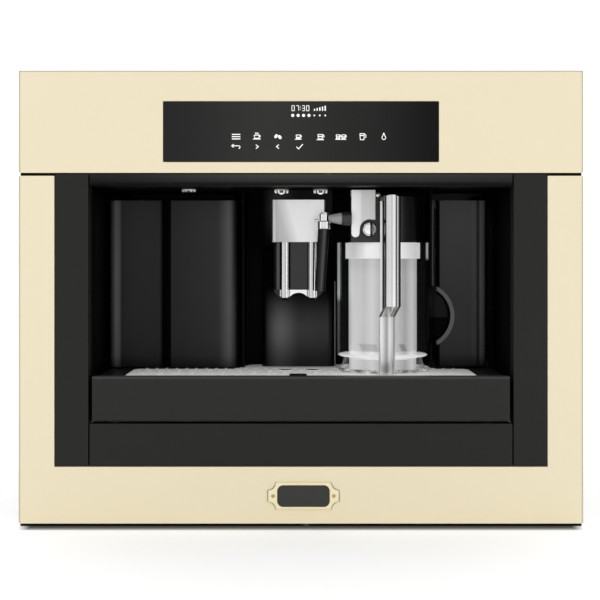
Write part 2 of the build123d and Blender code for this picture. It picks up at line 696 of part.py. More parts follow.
with BuildPart() as jug_band:
    upright(jug_x, jug_depth, band_z, lid_z, jug_r)
    chamfer(jug_band.edges().filter_by(GeomType.CIRCLE), 0.6)
    upright(jug_x, jug_depth, band_z - 1, lid_z - rim_t, jug_r - jug_wall, mode=Mode.SUBTRACT)
    upright(jug_x, jug_depth, band_z, lid_z + 1, liner_r - liner_wall - 1, mode=Mode.SUBTRACT)
save(jug_band, "jug_band")

lid_block = (froth_x - froth_w / 2, jug_x - 7)
block_d = froth_depth + 6
button_z = lid_top + froth_top_over_lid - froth_h - button_under_cover
milk_z = lid_top + milk_top_over_lid - 9.5
nozzle_play = fit
lid_wall = 3.5
froth_chamber_r = 9.0
with BuildPart() as jug_lid:
    upright(jug_x, jug_depth, lid_z, lid_top, lid_r)
    block(lid_block, (block_d, jug_depth), (lid_z, lid_top))
    chamfer(jug_lid.faces().sort_by(Axis.Z)[-1].edges(), 0.8)
    upright(jug_x, jug_depth, lid_z + lid_wall, lid_top - lid_wall, liner_r - liner_wall - lid_wall,
            mode=Mode.SUBTRACT)
    upright(jug_x, jug_depth, lid_z + lid_wall - 1, lid_top - lid_wall + 1, froth_chamber_r)
    along_y(button_x, block_d - 1, block_d + 9, button_z, button_r + fit, mode=Mode.SUBTRACT)
    # socket that carries the arm of the milk spout
    socket_x = (lid_block[0] - 5, lid_block[0] - fit)
    along_x(milk_hub_x + 6, socket_x[1], milk_depth, milk_z, milk_arm_r + 2.6)
    block(socket_x, (milk_depth, block_d + 14), (milk_z - 7, milk_z + 7))
    block((socket_x[0], lid_block[0] + 1), (block_d, block_d + 14), (milk_z - 7, milk_z + 7))
    along_x(milk_hub_x, lid_block[0] - 3, milk_depth, milk_z, milk_arm_r + running,
            mode=Mode.SUBTRACT)
    along_y(jug_x, jug_depth + 12, jug_depth + lid_r + 1, z_lintel - 34, 3 + nozzle_play,
            mode=Mode.SUBTRACT)
save(jug_lid, "jug_lid")

pickup_r = 3.2
with BuildPart() as milk_pickup:
    upright(jug_x, jug_depth, disc_top + 8, lid_z, pickup_r)
    upright(jug_x, jug_depth, disc_top + 7, lid_z - 2, pickup_r - 1.2, mode=Mode.SUBTRACT)
save(milk_pickup, "milk_pickup")

turn = radians(handle_turn)
outwards = (sin(turn), -cos(turn), 0)
handle_axis = (jug_x - handle_root * sin(turn), y(jug_depth) - handle_root * (1 - cos(turn)), 0)
handle_plane = Plane(origin=handle_axis, x_dir=outwards, z_dir=(-cos(turn), -sin(turn), 0))
strap_in = jug_r - 1.2
strap_out = jug_r + strap_t
grip_in_r = strap_out + finger_gap
grip_out = grip_in_r + grip_t
low_out = jug_r + 7.5
grip_low = lid_top - grip_bottom_under_lid
with BuildPart() as jug_handle:
    with BuildSketch(handle_plane):
        strap_low = jug_z + foot_ring_h + 1 + fit
        Polygon((strap_in, strap_low), (low_out - 3, strap_low), (low_out, strap_low + 7),
                (low_out, grip_low - grip_step_h), (grip_out, grip_low), (grip_out, lid_top - 3),
                (grip_out - 3, lid_top), (strap_in, lid_top), align=None)
        Polygon((strap_out, grip_low + 4), (grip_in_r, grip_low + 12), (grip_in_r, lid_top - 8),
                (strap_out, lid_top - 8), align=None, mode=Mode.SUBTRACT)
    extrude(amount=handle_w / 2, both=True)
    reach = [(e, (e.center() - handle_plane.origin).dot(Vector(*outwards))) for e in
             jug_handle.edges().filter_by(Axis.Z)]
    chamfer([e for e, out in reach if out > grip_in_r + 2], 3.2, 5.0)
    upright(jug_x, jug_depth, 0, 2 * lid_top, jug_r + running, mode=Mode.SUBTRACT)
save(jug_handle, "jug_handle")

froth_z = (lid_top + froth_top_over_lid - froth_h, lid_top + froth_top_over_lid)
froth_xs = (lid_block[0], lid_block[0] + froth_w)
with BuildPart() as froth_cover:
    block(froth_xs, (froth_depth, block_d), froth_z)
    block((froth_xs[0], froth_xs[0] + tongue_w), (froth_depth, block_d),
          (froth_z[0] - tongue_h, froth_z[0] + 1))
    low = froth_cover.edges().filter_by(Axis.Y).group_by(Axis.Z)[0]
    fillet(low, tongue_w / 2 - 0.1)
    along_y(button_x, froth_depth - 1, block_d + 1, button_z, button_r + 2.9, mode=Mode.SUBTRACT)
    block(froth_xs, (block_d - 1, block_d + 24), (lid_top, froth_z[1]))
    ridge = froth_cover.edges().filter_by(Axis.Z).group_by(Axis.Y)[0]
    chamfer(ridge.sort_by(Axis.X)[0], 2.0, 1.4)
save(froth_cover, "froth_cover")

with BuildPart() as clean_button:
    along_y(button_x, froth_depth + 2, block_d + 9 - button_travel - fit, button_z, button_r)
    chamfer(clean_button.edges().filter_by(GeomType.CIRCLE).group_by(Axis.Y)[0], 1.2)
save(clean_button, "clean_button")

# milk spout: arm along X in the lid's socket, collar on the arm's end, leaning tube
with BuildPart() as milk_arm:
    along_x(milk_x, lid_block[0] - 3 - fit, milk_depth, milk_z, milk_arm_r)
save(milk_arm, "milk_arm")

collar_z = (milk_z - 11.3, milk_z - 3.0)
with BuildPart() as milk_collar:
    upright(milk_x, milk_depth, collar_z[0], collar_z[1], milk_collar_r)
    upright(milk_x, milk_depth, collar_z[1], milk_z + milk_neck_r - 0.4, milk_neck_r)
    chamfer(milk_collar.edges().filter_by(GeomType.CIRCLE), 0.5)
    along_x(milk_x, milk_x + milk_collar_r + 1, milk_depth, milk_z, milk_arm_r, mode=Mode.SUBTRACT)
save(milk_collar, "milk_collar")

lean = radians(milk_lean)
tube_plane = Plane(origin=(milk_x, y(milk_depth), collar_z[0]), x_dir=(cos(lean), 0, -sin(lean)),
                   z_dir=(-sin(lean), 0, -cos(lean)))
with BuildPart() as milk_tube:
    with BuildSketch(tube_plane.offset(-milk_tube_r * sin(lean))) as top:
        Circle(milk_tube_r)
    with BuildSketch(tube_plane.offset(milk_tube_l)) as low:
        Circle(milk_tip_r)
    loft(sections=[top.sketch, low.sketch])
    with BuildSketch(tube_plane.offset(-2)) as bore:
        Circle(milk_bore_r)
    extrude(bore.sketch, amount=milk_tube_l + 4, mode=Mode.SUBTRACT)
    block((milk_x - 10, milk_x + 10), (milk_depth - 10, milk_depth + 10), (collar_z[0], collar_z[1]),
          mode=Mode.SUBTRACT)
save(milk_tube, "milk_tube")

# ---------------------------------------------------------------- drip drawer
tray_z = (z_drawer + fit, z_tray)
basin_d = (drawer_front_t + 0.5, front_t + tray_l)
with BuildPart() as drawer_front:
    folded_front((-drawer_half, drawer_half), (0.5, basin_d[0]), (z_drawer, z_open))
    chamfer(drawer_front.edges().filter_by(Axis.X).group_by(Axis.Y)[0], 1.2)
save(drawer_front, "drawer_front")

well_d = (basin_d[1] - tray_wall, basin_d[1] + well_l)
with BuildPart() as drip_tray:
    block((-tray_half, tray_half), basin_d, tray_z)
    block((-tray_half, well_x), well_d, tray_z)
    fillet(drip_tray.edges().filter_by(Axis.Z).group_by(Axis.Y)[-1], 6)
    w = tray_wall
    # shallow top recess for the grille, then the basin and the well
    block((-tray_half + w, tray_half - w), (basin_d[0] + w, basin_d[1] - w),
          (z_tray - grille_t - fit, z_tray + 1), mode=Mode.SUBTRACT)
    block((-tray_half + 3 * w, tray_half - 3 * w), (basin_d[0] + 3 * w, basin_d[1] - 3 * w),
          (tray_z[0] + w, z_tray + 1), mode=Mode.SUBTRACT)
    block((-tray_half + w, well_x - w), (well_d[0] + w, well_d[1] - w), (tray_z[0] + w, z_tray + 1),
          mode=Mode.SUBTRACT)
    # ramp that holds the empty corners beside the grille up to the rim
    for side in (-1, 1):
        block(sorted((side * (grille_half + fit), side * (tray_half - w))),
              (basin_d[0] + w, basin_d[1] - w), (z_tray - 6, z_tray))
save(drip_tray, "drip_tray")

grille_d = (basin_d[0] + tray_wall + fit, basin_d[1] - tray_wall - fit)
with BuildPart() as drip_grille:
    with BuildSketch(Plane.XY.offset(z_tray - grille_t)):
        with BuildLine():
            shoulder = y(grille_side_l)
            rear = y(grille_d[1])
            Polyline((-grille_half + 3, y(grille_d[0])), (grille_half - 3, y(grille_d[0])),
                     (grille_half, y(grille_d[0]) + 3), (grille_half, shoulder - 6),
                     (grille_half - 6, shoulder), (tank_room_x + 6, shoulder),
                     (tank_room_x - 8, rear - 6), (tank_room_x - 16, rear), (-52, rear),
                     (-60, rear - 6), (-74, shoulder), (-grille_half + 6, shoulder),
                     (-grille_half, shoulder - 6), (-grille_half, y(grille_d[0]) + 3), close=True)
        make_face()
        with Locations((0, y(grille_d[0]))):
            SlotOverall(notch_w, 2 * notch_d, mode=Mode.SUBTRACT)
        with Locations((0, y((grille_d[0] + grille_side_l) / 2 + 3))):
            with GridLocations(grille_pitch_x, grille_pitch_y, 21, 6):
                Rectangle(grille_slot_l, grille_slot_w, rotation=45, mode=Mode.SUBTRACT)
    extrude(amount=grille_t)
save(drip_grille, "drip_grille")

container_d = (well_d[0] + tray_wall + 1, well_d[1] - tray_wall - 1)
container_x = (-tray_half + tray_wall + 1, well_x - tray_wall - 1)
with BuildPart() as grounds_container:
    block(container_x, container_d, (tray_z[0] + tray_wall, z_tray - 2))
    fillet(grounds_container.edges().filter_by(Axis.Z), 8)
    offset(amount=-container_wall, openings=grounds_container.faces().sort_by(Axis.Z)[-1])
save(grounds_container, "grounds_container")
# ---------------------------------------------------------------- brewing unit
brew_x = -130.0
brew_d = 216.0
brew_top = z_mid - 6
cheek_half = 50.0
cheek_t = 3.0
drive_d = (well_d[1] + 2, rooms_depth - 4)
chamber_r = 31.0
chamber_bore_r = 28.0
chamber_h = 52.0
chamber_z = z_room + 12
brew_stroke = 40.0
head_gap = 3.0
with BuildPart() as brew_drive:
    block((brew_x - 62, brew_x + 62), drive_d, (z_deck, brew_top))
    for z in (z_room + 40, brew_top - 50):
        along_y(brew_x, drive_d[0] - 1, drive_d[0] + 5, z, 14, mode=Mode.SUBTRACT)
    chamfer(brew_drive.edges().filter_by(Axis.Z), 4)
save(brew_drive, "brew_drive")

frame_d = (panel_depth + door_t + 10, drive_d[0])
head_z = chamber_z + chamber_h + brew_stroke + head_gap
with BuildPart() as brew_frame:
    xs = (brew_x - cheek_half - cheek_t, brew_x + cheek_half + cheek_t)
    block(xs, frame_d, (z_room + 4, brew_top))
    block((xs[0] + cheek_t, xs[1] - cheek_t), (frame_d[0] - 1, frame_d[1] - cheek_t),
          (z_room, head_z + 22), mode=Mode.SUBTRACT)
    block((xs[0] + cheek_t, xs[1] - cheek_t), (frame_d[0] + 30, frame_d[1] - 30),
          (head_z + 28, brew_top + 1), mode=Mode.SUBTRACT)
    block((xs[0] - 1, xs[1] + 1), (brew_d - 14, brew_d + 14), (z_room, head_z - 4), mode=Mode.SUBTRACT)
    upright(brew_x, brew_d, head_z, head_z + 24, chamber_bore_r - 1)
    for side in (-1, 1):
        rail_x = sorted((brew_x + side * (cheek_half - 5), brew_x + side * cheek_half))
        for d in (brew_d - 20, brew_d + 20):
            block(rail_x, (d - 3, d + 3), (z_room + 4, head_z + 23))
save(brew_frame, "brew_frame")

with BuildPart() as brew_chamber:
    upright(brew_x, brew_d, chamber_z, chamber_z + chamber_h, chamber_r)
    block((brew_x - cheek_half + fit, brew_x + cheek_half - fit), (brew_d - 16, brew_d + 16),
          (chamber_z + 6, chamber_z + 30))
    upright(brew_x, brew_d, chamber_z + 12, chamber_z + chamber_h + 1, chamber_bore_r,
            mode=Mode.SUBTRACT)
    chamfer(brew_chamber.faces().sort_by(Axis.Z)[-1].edges(), 1)
save(brew_chamber, "brew_chamber")

# ---------------------------------------------------------------- grinder and hopper
grind_z = z_mid + sheet
grinder_r = 42.0
grinder_h = 56.0
burr_r = 24.0
burr_gap = 0.6
grind_shaft_r = 4.0
floor_z = grind_z + 14
burr_z = (floor_z + fit, grind_z + grinder_h - 8)
with BuildPart() as grinder:
    upright(grinder_x, grinder_d, grind_z, grind_z + grinder_h, grinder_r)
    upright(grinder_x, grinder_d, floor_z, burr_z[1] - 10, burr_r + 4, mode=Mode.SUBTRACT)
    upright(grinder_x, grinder_d, burr_z[1] - 11, grind_z + grinder_h + 1, burr_r + burr_gap + 2,
            mode=Mode.SUBTRACT)
    upright(grinder_x, grinder_d, grind_z - 1, floor_z + 1, grind_shaft_r + running, mode=Mode.SUBTRACT)
    upright(chute_x, grinder_d, grind_z - 1, floor_z + 1, chute_r - 1, mode=Mode.SUBTRACT)
    chamfer(grinder.edges().filter_by(GeomType.CIRCLE).group_by(Axis.Z)[-1], 1.5)
save(grinder, "grinder")

with BuildPart() as burr_rotor:
    with Locations((grinder_x, y(grinder_d), (burr_z[0] + burr_z[1]) / 2)):
        Cone(burr_r, burr_r * 0.6, burr_z[1] - burr_z[0])
    with Locations((grinder_x, y(grinder_d), burr_z[0])):
        with PolarLocations(burr_r, 12):
            Box(5, 1.6, 14, mode=Mode.SUBTRACT)
    upright(grinder_x, grinder_d, grind_z + 2, burr_z[0] + 1, grind_shaft_r)
save(burr_rotor, "burr_rotor")

hopper_top = z_cover - sheet - fit
hopper_wall = 2.0
hopper_z = grind_z + grinder_h
hopper_mid = ((hopper_x[0] + hopper_x[1]) / 2, y((hopper_d[0] + hopper_d[1]) / 2))
throat_r = burr_r + 5        # outside of the hopper's mouth, wider than the grinder's bore


def funnel_of(mid, size, z_low, z_high, hole, hole_r, grow):
    """Solid funnel from a round mouth below to a rounded rectangle above, then upright walls."""
    z_wall = z_high - 14
    with BuildSketch(Plane.XY.offset(z_low)) as mouth:
        with Locations(hole):
            Circle(hole_r + grow)
    with BuildSketch(Plane.XY.offset(z_wall)) as rim:
        with Locations(mid):
            RectangleRounded(size[0] + 2 * grow, size[1] + 2 * grow, 10 + grow)
    loft(sections=[mouth.sketch, rim.sketch], ruled=True)
    extrude(rim.sketch, amount=z_high - z_wall)


hopper_less = 2 * hopper_wall + 2              # opening in the top against the hopper's inside
hopper_size = (hopper_x[1] - hopper_x[0] - hopper_less, hopper_d[1] - hopper_d[0] - hopper_less)
with BuildPart() as hopper_inside:
    funnel_of(hopper_mid, hopper_size, hopper_z - 0.01, hopper_top + 0.5, (grinder_x, y(grinder_d)),
              throat_r - hopper_wall, 0)
with BuildPart() as bean_hopper:
    funnel_of(hopper_mid, hopper_size, hopper_z, hopper_top, (grinder_x, y(grinder_d)),
              throat_r - hopper_wall, hopper_wall)
    add(hopper_inside.part, mode=Mode.SUBTRACT)
save(bean_hopper, "bean_hopper")

funnel_mid = ((funnel_x[0] + funnel_x[1]) / 2, y((funnel_d[0] + funnel_d[1]) / 2))
funnel_size = (funnel_x[1] - funnel_x[0] - 6, funnel_d[1] - funnel_d[0] - 6)
tube_top = z_mid + 50
with BuildPart() as funnel_inside:
    funnel_of(funnel_mid, funnel_size, tube_top - 0.01, hopper_top + 0.5, (powder_x, y(grinder_d)),
              powder_tube_r - 2, 0)
with BuildPart() as powder_funnel:
    funnel_of(funnel_mid, funnel_size, tube_top, hopper_top, (powder_x, y(grinder_d)),
              powder_tube_r - 2, 2)
    upright(powder_x, grinder_d, z_mid - 3, tube_top, powder_tube_r)
    add(funnel_inside.part, mode=Mode.SUBTRACT)
    upright(powder_x, grinder_d, z_mid - 4, tube_top + 0.05, powder_tube_r - 2.1, mode=Mode.SUBTRACT)
save(powder_funnel, "powder_funnel")

# Lids in the top, each with a barrel at its rear that turns on the pins of two ears.
def lid_on_top(xs, ds):
    """Flat lid over an opening, its barrel at the rear."""
    over = (xs[0] - lid_margin, xs[1] + lid_margin)
    block(over, (ds[0] - lid_margin, ds[1] + lid_margin), (z_cover + fit, z_cover + fit + lid_t))
    hinge = ds[1] + lid_margin + hinge_back
    barrel = (over[0] + barrel_in, over[1] - barrel_in)
    along_x(barrel[0], barrel[1], hinge, lid_hinge_z, barrel_r)
    block(barrel, (hinge - hinge_back - 1, hinge), (z_cover + fit, z_cover + fit + lid_t))
    along_x(barrel[0] - 1, barrel[1] + 1, hinge, lid_hinge_z, lid_pin_r + running, mode=Mode.SUBTRACT)
    middle = (xs[0] + xs[1]) / 2
    # dimple for a fingertip at the front edge
    upright(middle, ds[0] + 6, z_cover + fit + lid_t / 2, z_cover + fit + lid_t + 1, 9, mode=Mode.SUBTRACT)


with BuildPart() as hopper_lid:
    lid_on_top(hopper_x, hopper_d)
save(hopper_lid, "hopper_lid")

with BuildPart() as powder_lid:
    lid_on_top(funnel_x, funnel_d)
save(powder_lid, "powder_lid")

with BuildPart() as grind_knob:
    upright(knob_x, knob_d, z_cover + fit, z_cover + 6.5, knob_r)
    with Locations((knob_x, y(knob_d), z_cover + 6.5)):
        with PolarLocations(knob_r + 1, 12):
            Cylinder(3, 20, mode=Mode.SUBTRACT)
    upright(knob_x, knob_d, z_cover - 22, z_cover + 1, knob_shaft_r)
save(grind_knob, "grind_knob")

# ---------------------------------------------------------------- water, steam and electrics
pump_x = -40.0
pump_r = 24.0
pump_l = 100.0
pump_over_base = 34.0
pump_d = (rooms_depth - 135.0, rooms_depth - 135.0 + pump_l)
pump_foot = (52.0, 10.0, 20.0)
with BuildPart() as water_pump:
    pump_z = z_base + pump_over_base
    along_y(pump_x, pump_d[0], pump_d[1], pump_z, pump_r)
    along_y(pump_x, pump_d[0] - 15, pump_d[0], pump_z, pump_r * 0.45)
    along_y(pump_x, pump_d[1], pump_d[1] + 22, pump_z, pump_r * 0.25)
    for d in (pump_d[0] + 12, pump_d[1] - 12):
        block((pump_x - pump_foot[0] / 2, pump_x + pump_foot[0] / 2),
              (d - pump_foot[1] / 2, d + pump_foot[1] / 2), (z_base, z_base + pump_foot[2]))
save(water_pump, "water_pump")

heater_x = 0.0
heater_half = 45.0
heater_l = 38.0
heater_h = 120.0
heater_over_room = 50.0
heater_gap = 10.0           # to the back wall of the cavity
heater_foot_x = 30.0
with BuildPart() as thermoblock:
    heater_d = (recess_depth + wall_t + heater_gap, recess_depth + wall_t + heater_gap + heater_l)
    heater_z = (z_room + heater_over_room, z_room + heater_over_room + heater_h)
    block((heater_x - heater_half, heater_x + heater_half), heater_d, heater_z)
    chamfer(thermoblock.edges().filter_by(Axis.Y), 10)
    for x in (heater_x - heater_foot_x, heater_x + heater_foot_x):
        for z in (heater_z[0] + 30, heater_z[1] - 30):
            along_y(x, heater_d[0] - heater_gap, heater_d[0] + 2, z, 5)
    for step in (-1, 0, 1):
        z = (heater_z[0] + heater_z[1]) / 2 + step * 35
        block((heater_x - heater_half - 1, heater_x + heater_half + 1), (heater_d[1] - 10, heater_d[1] + 2),
              (z - 6, z + 6), mode=Mode.SUBTRACT)
save(thermoblock, "thermoblock")

board_t = 1.6
with BuildPart() as display_board:
    ledge_back = glass_t + front_wall
    block((-glass_half - 3, glass_half + 3), (ledge_back, ledge_back + board_t),
          (z_glass - 3, z_glass + glass_h + 3))
    block((-45, 45), (ledge_back, ledge_back + 9), (z_glass + 12, z_glass + 46))
save(display_board, "display_board")

board_x = (40.0, 220.0)
board_d = (rooms_depth - 95.0, rooms_depth + 15.0)
standoff_h = 8.0
with BuildPart() as power_board:
    board_z = z_base + standoff_h
    block(board_x, board_d, (board_z, board_z + board_t))
    for x in (board_x[0] + 10, board_x[1] - 10):
        for d in (board_d[0] + 10, board_d[1] - 10):
            upright(x, d, z_base, board_z, 4)
    # transformer, relay block and two capacitors
    block((board_x[0] + 20, board_x[0] + 70), (board_d[0] + 15, board_d[0] + 60), (board_z, board_z + 40))
    block((board_x[0] + 90, board_x[0] + 120), (board_d[0] + 20, board_d[0] + 80), (board_z, board_z + 30))
    for x in (board_x[1] - 40, board_x[1] - 20):
        upright(x, board_d[0] + 40, board_z, board_z + 32, 8)
save(power_board, "power_board")

with BuildPart() as mains_inlet:
    half_x, half_z = inlet_half
    block((inlet_x - half_x + fit, inlet_x + half_x - fit), (body_back - 26, depth),
          (inlet_z - half_z + fit, inlet_z + half_z - fit))
    block((inlet_x - half_x - 8, inlet_x + half_x + 8), (body_back - 3, body_back),
          (inlet_z - half_z - 3, inlet_z + half_z + 3))
    block((inlet_x - half_x + 2.5, inlet_x + half_x - 2.5), (depth - 17, depth + 1),
          (inlet_z - half_z + 2.5, inlet_z + half_z - 2.5), mode=Mode.SUBTRACT)
    for x, z in ((0, 3), (-7, -2), (7, -2)):
        block((inlet_x + x - 1, inlet_x + x + 1), (depth - 18, depth - 3), (inlet_z + z - 2, inlet_z + z + 2))
    # housing of the main switch beside it
    switch_d = body_back - 5
    half_x, half_z = switch_half
    block((switch_x - half_x - 3, switch_x + half_x + 3), (body_back - 22, body_back),
          (inlet_z - half_z - 3, inlet_z + half_z + 3))
    block((switch_x - half_x + 1, switch_x + half_x - 1), (body_back - 14, body_back + 1),
          (inlet_z - half_z + 1, inlet_z + half_z - 1), mode=Mode.SUBTRACT)
    along_x(switch_x - half_x, switch_x + half_x, switch_d, inlet_z, 1.5)
save(mains_inlet, "mains_inlet")

with BuildPart() as main_switch:
    half_x, half_z = (switch_half[0] - 1 - fit, switch_half[1] - 2.2)
    with BuildSketch(Plane.YZ.offset(switch_x - half_x)):
        rear, hollow, inner = y(depth - 1.2), y(depth - 3), y(switch_d - 3)
        Polygon((inner, inlet_z - half_z + 4), (inner, inlet_z + half_z - 4), (rear, inlet_z + half_z),
                (hollow, inlet_z), (rear, inlet_z - half_z), align=None)
    extrude(amount=2 * half_x)
    along_x(switch_x - half_x - 1, switch_x + half_x + 1, switch_d, inlet_z, 1.5 + running,
            mode=Mode.SUBTRACT)
save(main_switch, "main_switch")
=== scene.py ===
"""Looks of a built-in coffee machine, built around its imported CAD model."""

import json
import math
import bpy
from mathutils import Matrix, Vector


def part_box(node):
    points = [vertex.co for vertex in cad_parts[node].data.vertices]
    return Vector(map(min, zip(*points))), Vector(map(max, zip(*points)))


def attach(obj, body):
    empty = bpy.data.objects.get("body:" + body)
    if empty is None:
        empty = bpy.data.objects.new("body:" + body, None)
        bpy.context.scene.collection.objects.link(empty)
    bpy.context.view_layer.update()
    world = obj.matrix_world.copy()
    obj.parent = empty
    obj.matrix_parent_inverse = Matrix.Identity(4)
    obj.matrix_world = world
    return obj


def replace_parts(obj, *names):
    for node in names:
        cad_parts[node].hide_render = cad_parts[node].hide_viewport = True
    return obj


bl_info = {
    "name": "Built-in Coffee Machine",
    "version": (1, 0, 0),
    "blender": (4, 5, 0),
    "location": "View3D > Sidebar > Coffee Machine",
    "description": "Finishes, small fittings and a studio for a built-in coffee machine",
    "category": "Object",
}

import bmesh
import bpy
import numpy as np
from bpy.props import FloatProperty, FloatVectorProperty, PointerProperty

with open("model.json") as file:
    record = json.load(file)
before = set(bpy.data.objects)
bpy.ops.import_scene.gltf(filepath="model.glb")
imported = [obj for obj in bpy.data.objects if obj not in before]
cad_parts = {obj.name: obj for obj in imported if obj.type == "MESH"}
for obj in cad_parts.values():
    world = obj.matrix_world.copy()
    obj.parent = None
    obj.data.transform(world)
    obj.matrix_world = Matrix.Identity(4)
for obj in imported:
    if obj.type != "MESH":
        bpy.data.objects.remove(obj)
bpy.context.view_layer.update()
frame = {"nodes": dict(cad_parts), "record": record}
NODES = frame["nodes"]
TAU = 2 * math.pi
MM = 0.001
RIGHT, BACK, UP = np.eye(3)      # the frame's X, Y and Z; the front looks along -Y
WHITE = (1.0, 1.0, 1.0)
PAINT_RELIEF = 0.00002       # grain of enamel and painted sheet, in metres
MOULD_RELIEF = 0.00003       # grain of black mouldings


# ---------------------------------------------------------------- places read from the frame
def corners(node):
    """Lowest and highest corner of a CAD node as arrays, in metres."""
    low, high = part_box(node)
    return np.array(low), np.array(high)


FASCIA = corners("control_fascia")
FRAME = corners("front_frame")
GLASS = corners("display_glass")
FRONT_Y = FASCIA[0][1]


# ---------------------------------------------------------------- shader maths
class Value:
    """A socket of a node tree. Its operators add Math nodes, so formulas read as plain Python."""

    def __init__(self, finish, socket):
        self.finish = finish
        self.socket = socket

    def _math(self, operation, first, second=None):
        return self.finish.node("ShaderNodeMath", {"operation": operation}, first, second)

    def __add__(self, other):
        return self._math("ADD", self, other)

    def __radd__(self, other):
        return self._math("ADD", other, self)

    def __sub__(self, other):
        return self._math("SUBTRACT", self, other)

    def __rsub__(self, other):
        return self._math("SUBTRACT", other, self)

    def __mul__(self, other):
        return self._math("MULTIPLY", self, other)

    def __rmul__(self, other):
        return self._math("MULTIPLY", other, self)

    def __truediv__(self, other):
        return self._math("DIVIDE", self, other)

    def __pow__(self, other):
        return self._math("POWER", self, other)

    def at_most(self, other):
        return self._math("MINIMUM", self, other)

    def above(self, other):
        return self._math("GREATER_THAN", self, other)

    def absolute(self):
        return self._math("ABSOLUTE", self)


class Finish:
    """One material: a Principled surface and the nodes that vary it."""

    def __init__(self, name):
        self.material = bpy.data.materials.new(name)
        self.material.use_nodes = True
        self.tree = self.material.node_tree
        self.surface = self.tree.nodes["Principled BSDF"]
        self.places = {}

    def node(self, kind, settings=None, *values, output=0, **named):
        """Adds a node: settings first, then the values or links of its sockets."""
        made = self.tree.nodes.new(kind)
        for key, setting in (settings or {}).items():
            if key == "stops":
                ramp = made.color_ramp
                for index, (place, colour) in enumerate(setting):
                    stop = ramp.elements[index] if index < 2 else ramp.elements.new(place)
                    stop.position = place
                    stop.color = colour if len(colour) == 4 else (*colour, 1)
            else:
                setattr(made, key, setting)
        for index, value in enumerate(values):
            if value is not None:
                self.feed(made.inputs[index], value)
        for key, value in named.items():
            self.feed(made.inputs[key.replace("_", " ")], value)
        return Value(self, made.outputs[output])

    def feed(self, socket, value):
        if isinstance(value, Value):
            self.tree.links.new(value.socket, socket)
        else:
            socket.default_value = value

    def place(self, stretch=(1, 1, 1)):
        """Object coordinates, stretched along the axes."""
        if stretch not in self.places:
            if "object" not in self.places:
                made = self.tree.nodes.new("ShaderNodeTexCoord")
                self.places["object"] = Value(self, made.outputs["Object"])
            self.places[stretch] = self.node("ShaderNodeMapping", None, self.places["object"],
                                             Scale=stretch)
        return self.places[stretch]

    def axis(self, index):
        """One of the three Object coordinates, in metres."""
        return self.node("ShaderNodeSeparateXYZ", None, self.place(), output=index)

    def noise(self, scale, detail=2.0, stretch=(1, 1, 1)):
        return self.node("ShaderNodeTexNoise", None, Vector=self.place(stretch), Scale=scale,
                         Detail=detail)

    def blend(self, low, high, factor):
        """Colour between two colours by a factor."""
        made = self.tree.nodes.new("ShaderNodeMix")
        made.data_type = "RGBA"
        for index, value in ((0, factor), (6, low), (7, high)):
            if isinstance(value, tuple):
                value = (*value, 1) if len(value) == 3 else value
            self.feed(made.inputs[index], value)
        return Value(self, made.outputs[2])

    def shade(self, colour, level):
        """A colour darkened to a level: black at 0, the colour itself at 1."""
        return self.blend((0, 0, 0), colour, level)

    def profile(self, value, stops, smooth="LINEAR"):
        """Level along a coordinate: stops are (place in millimetres, level) pairs, rising in place."""
        low, high = stops[0][0] * MM, stops[-1][0] * MM
        ramp = [((place * MM - low) / (high - low), (level,) * 3) for place, level in stops]
        part = (value - low) / (high - low)
        made = self.node("ShaderNodeValToRGB", {"stops": ramp}, part)
        made.socket.node.color_ramp.interpolation = smooth
        return made

    def bump(self, height, depth, strength=0.3):
        """Relief from a height between 0 and 1, depth in metres."""
        self.set(Normal=self.node("ShaderNodeBump", None, Strength=strength, Distance=depth,
                                  Height=height))

    def set(self, **named):
        for key, value in named.items():
            if isinstance(value, tuple) and len(value) == 3:
                value = (*value, 1)
            self.feed(self.surface.inputs[key.replace("_", " ")], value)
        return self


def grained(name, colour, roughness, grain=0.15, relief=0.0, scale=900.0, **fixed):
    """Painted or moulded surface: cloudy colour, mottled roughness and a fine relief."""
    finish = Finish(name)
    cloud = finish.noise(14.0, 3.0)
    dark = tuple(c * (1 - grain) for c in colour)
    light = tuple(min(1.0, c * (1 + grain)) for c in colour)
    finish.set(Base_Color=finish.blend(dark, light, cloud),
               Roughness=roughness + (finish.noise(60.0, 2.0) - 0.5) * 0.08, **fixed)
    if relief:
        finish.bump(finish.noise(scale, 1.0), relief)
    return finish.material


def brushed(name, colour, roughness, along="X", metal=1.0, stroke=0.05):
    """Metal with long fine brush strokes along one axis."""
    finish = Finish(name)
    stretch = {"X": (3, 420, 420), "Y": (420, 3, 420), "Z": (420, 420, 3)}[along]
    strokes = finish.noise(1.0, 3.0, stretch)
    shade = tuple(c * 0.88 for c in colour)
    finish.set(Base_Color=finish.blend(shade, colour, strokes), Metallic=metal,
               Roughness=roughness + (strokes - 0.5) * stroke * 2)
    finish.bump(strokes, 0.00004, 0.25)
    return finish.material


def polished(name, colour, roughness):
    """Plated metal: nearly a mirror, with faint wiping marks in its roughness."""
    finish = Finish(name)
    wiped = finish.noise(30.0, 4.0)
    finish.set(Base_Color=finish.blend(tuple(c * 0.96 for c in colour), colour, wiped), Metallic=1.0,
               Roughness=roughness + wiped * 0.04)
    return finish.material


def clear(name, tint, alpha, roughness, edge=0.0, power=3.0, glow=0.0, specular=0.5):
    """Clear or frosted moulding: what is behind shows through, less where the wall is seen edge on."""
    finish = Finish(name)
    cloud = finish.noise(22.0, 3.0)
    slant = finish.node("ShaderNodeLayerWeight", None, Blend=0.5, output=1)
    seen = alpha + (cloud - 0.5) * min(0.04, alpha) + slant ** power * edge
    # glow, where given, is painted light: the moulding shines by emission though it is no lamp
    finish.set(Base_Color=finish.blend(tuple(c * 0.94 for c in tint), tint, cloud),
               Alpha=seen.at_most(1.0), Roughness=roughness, IOR=1.47,
               Emission_Color=(*tint, 1), Emission_Strength=glow, Specular_IOR_Level=specular)
    return finish.material


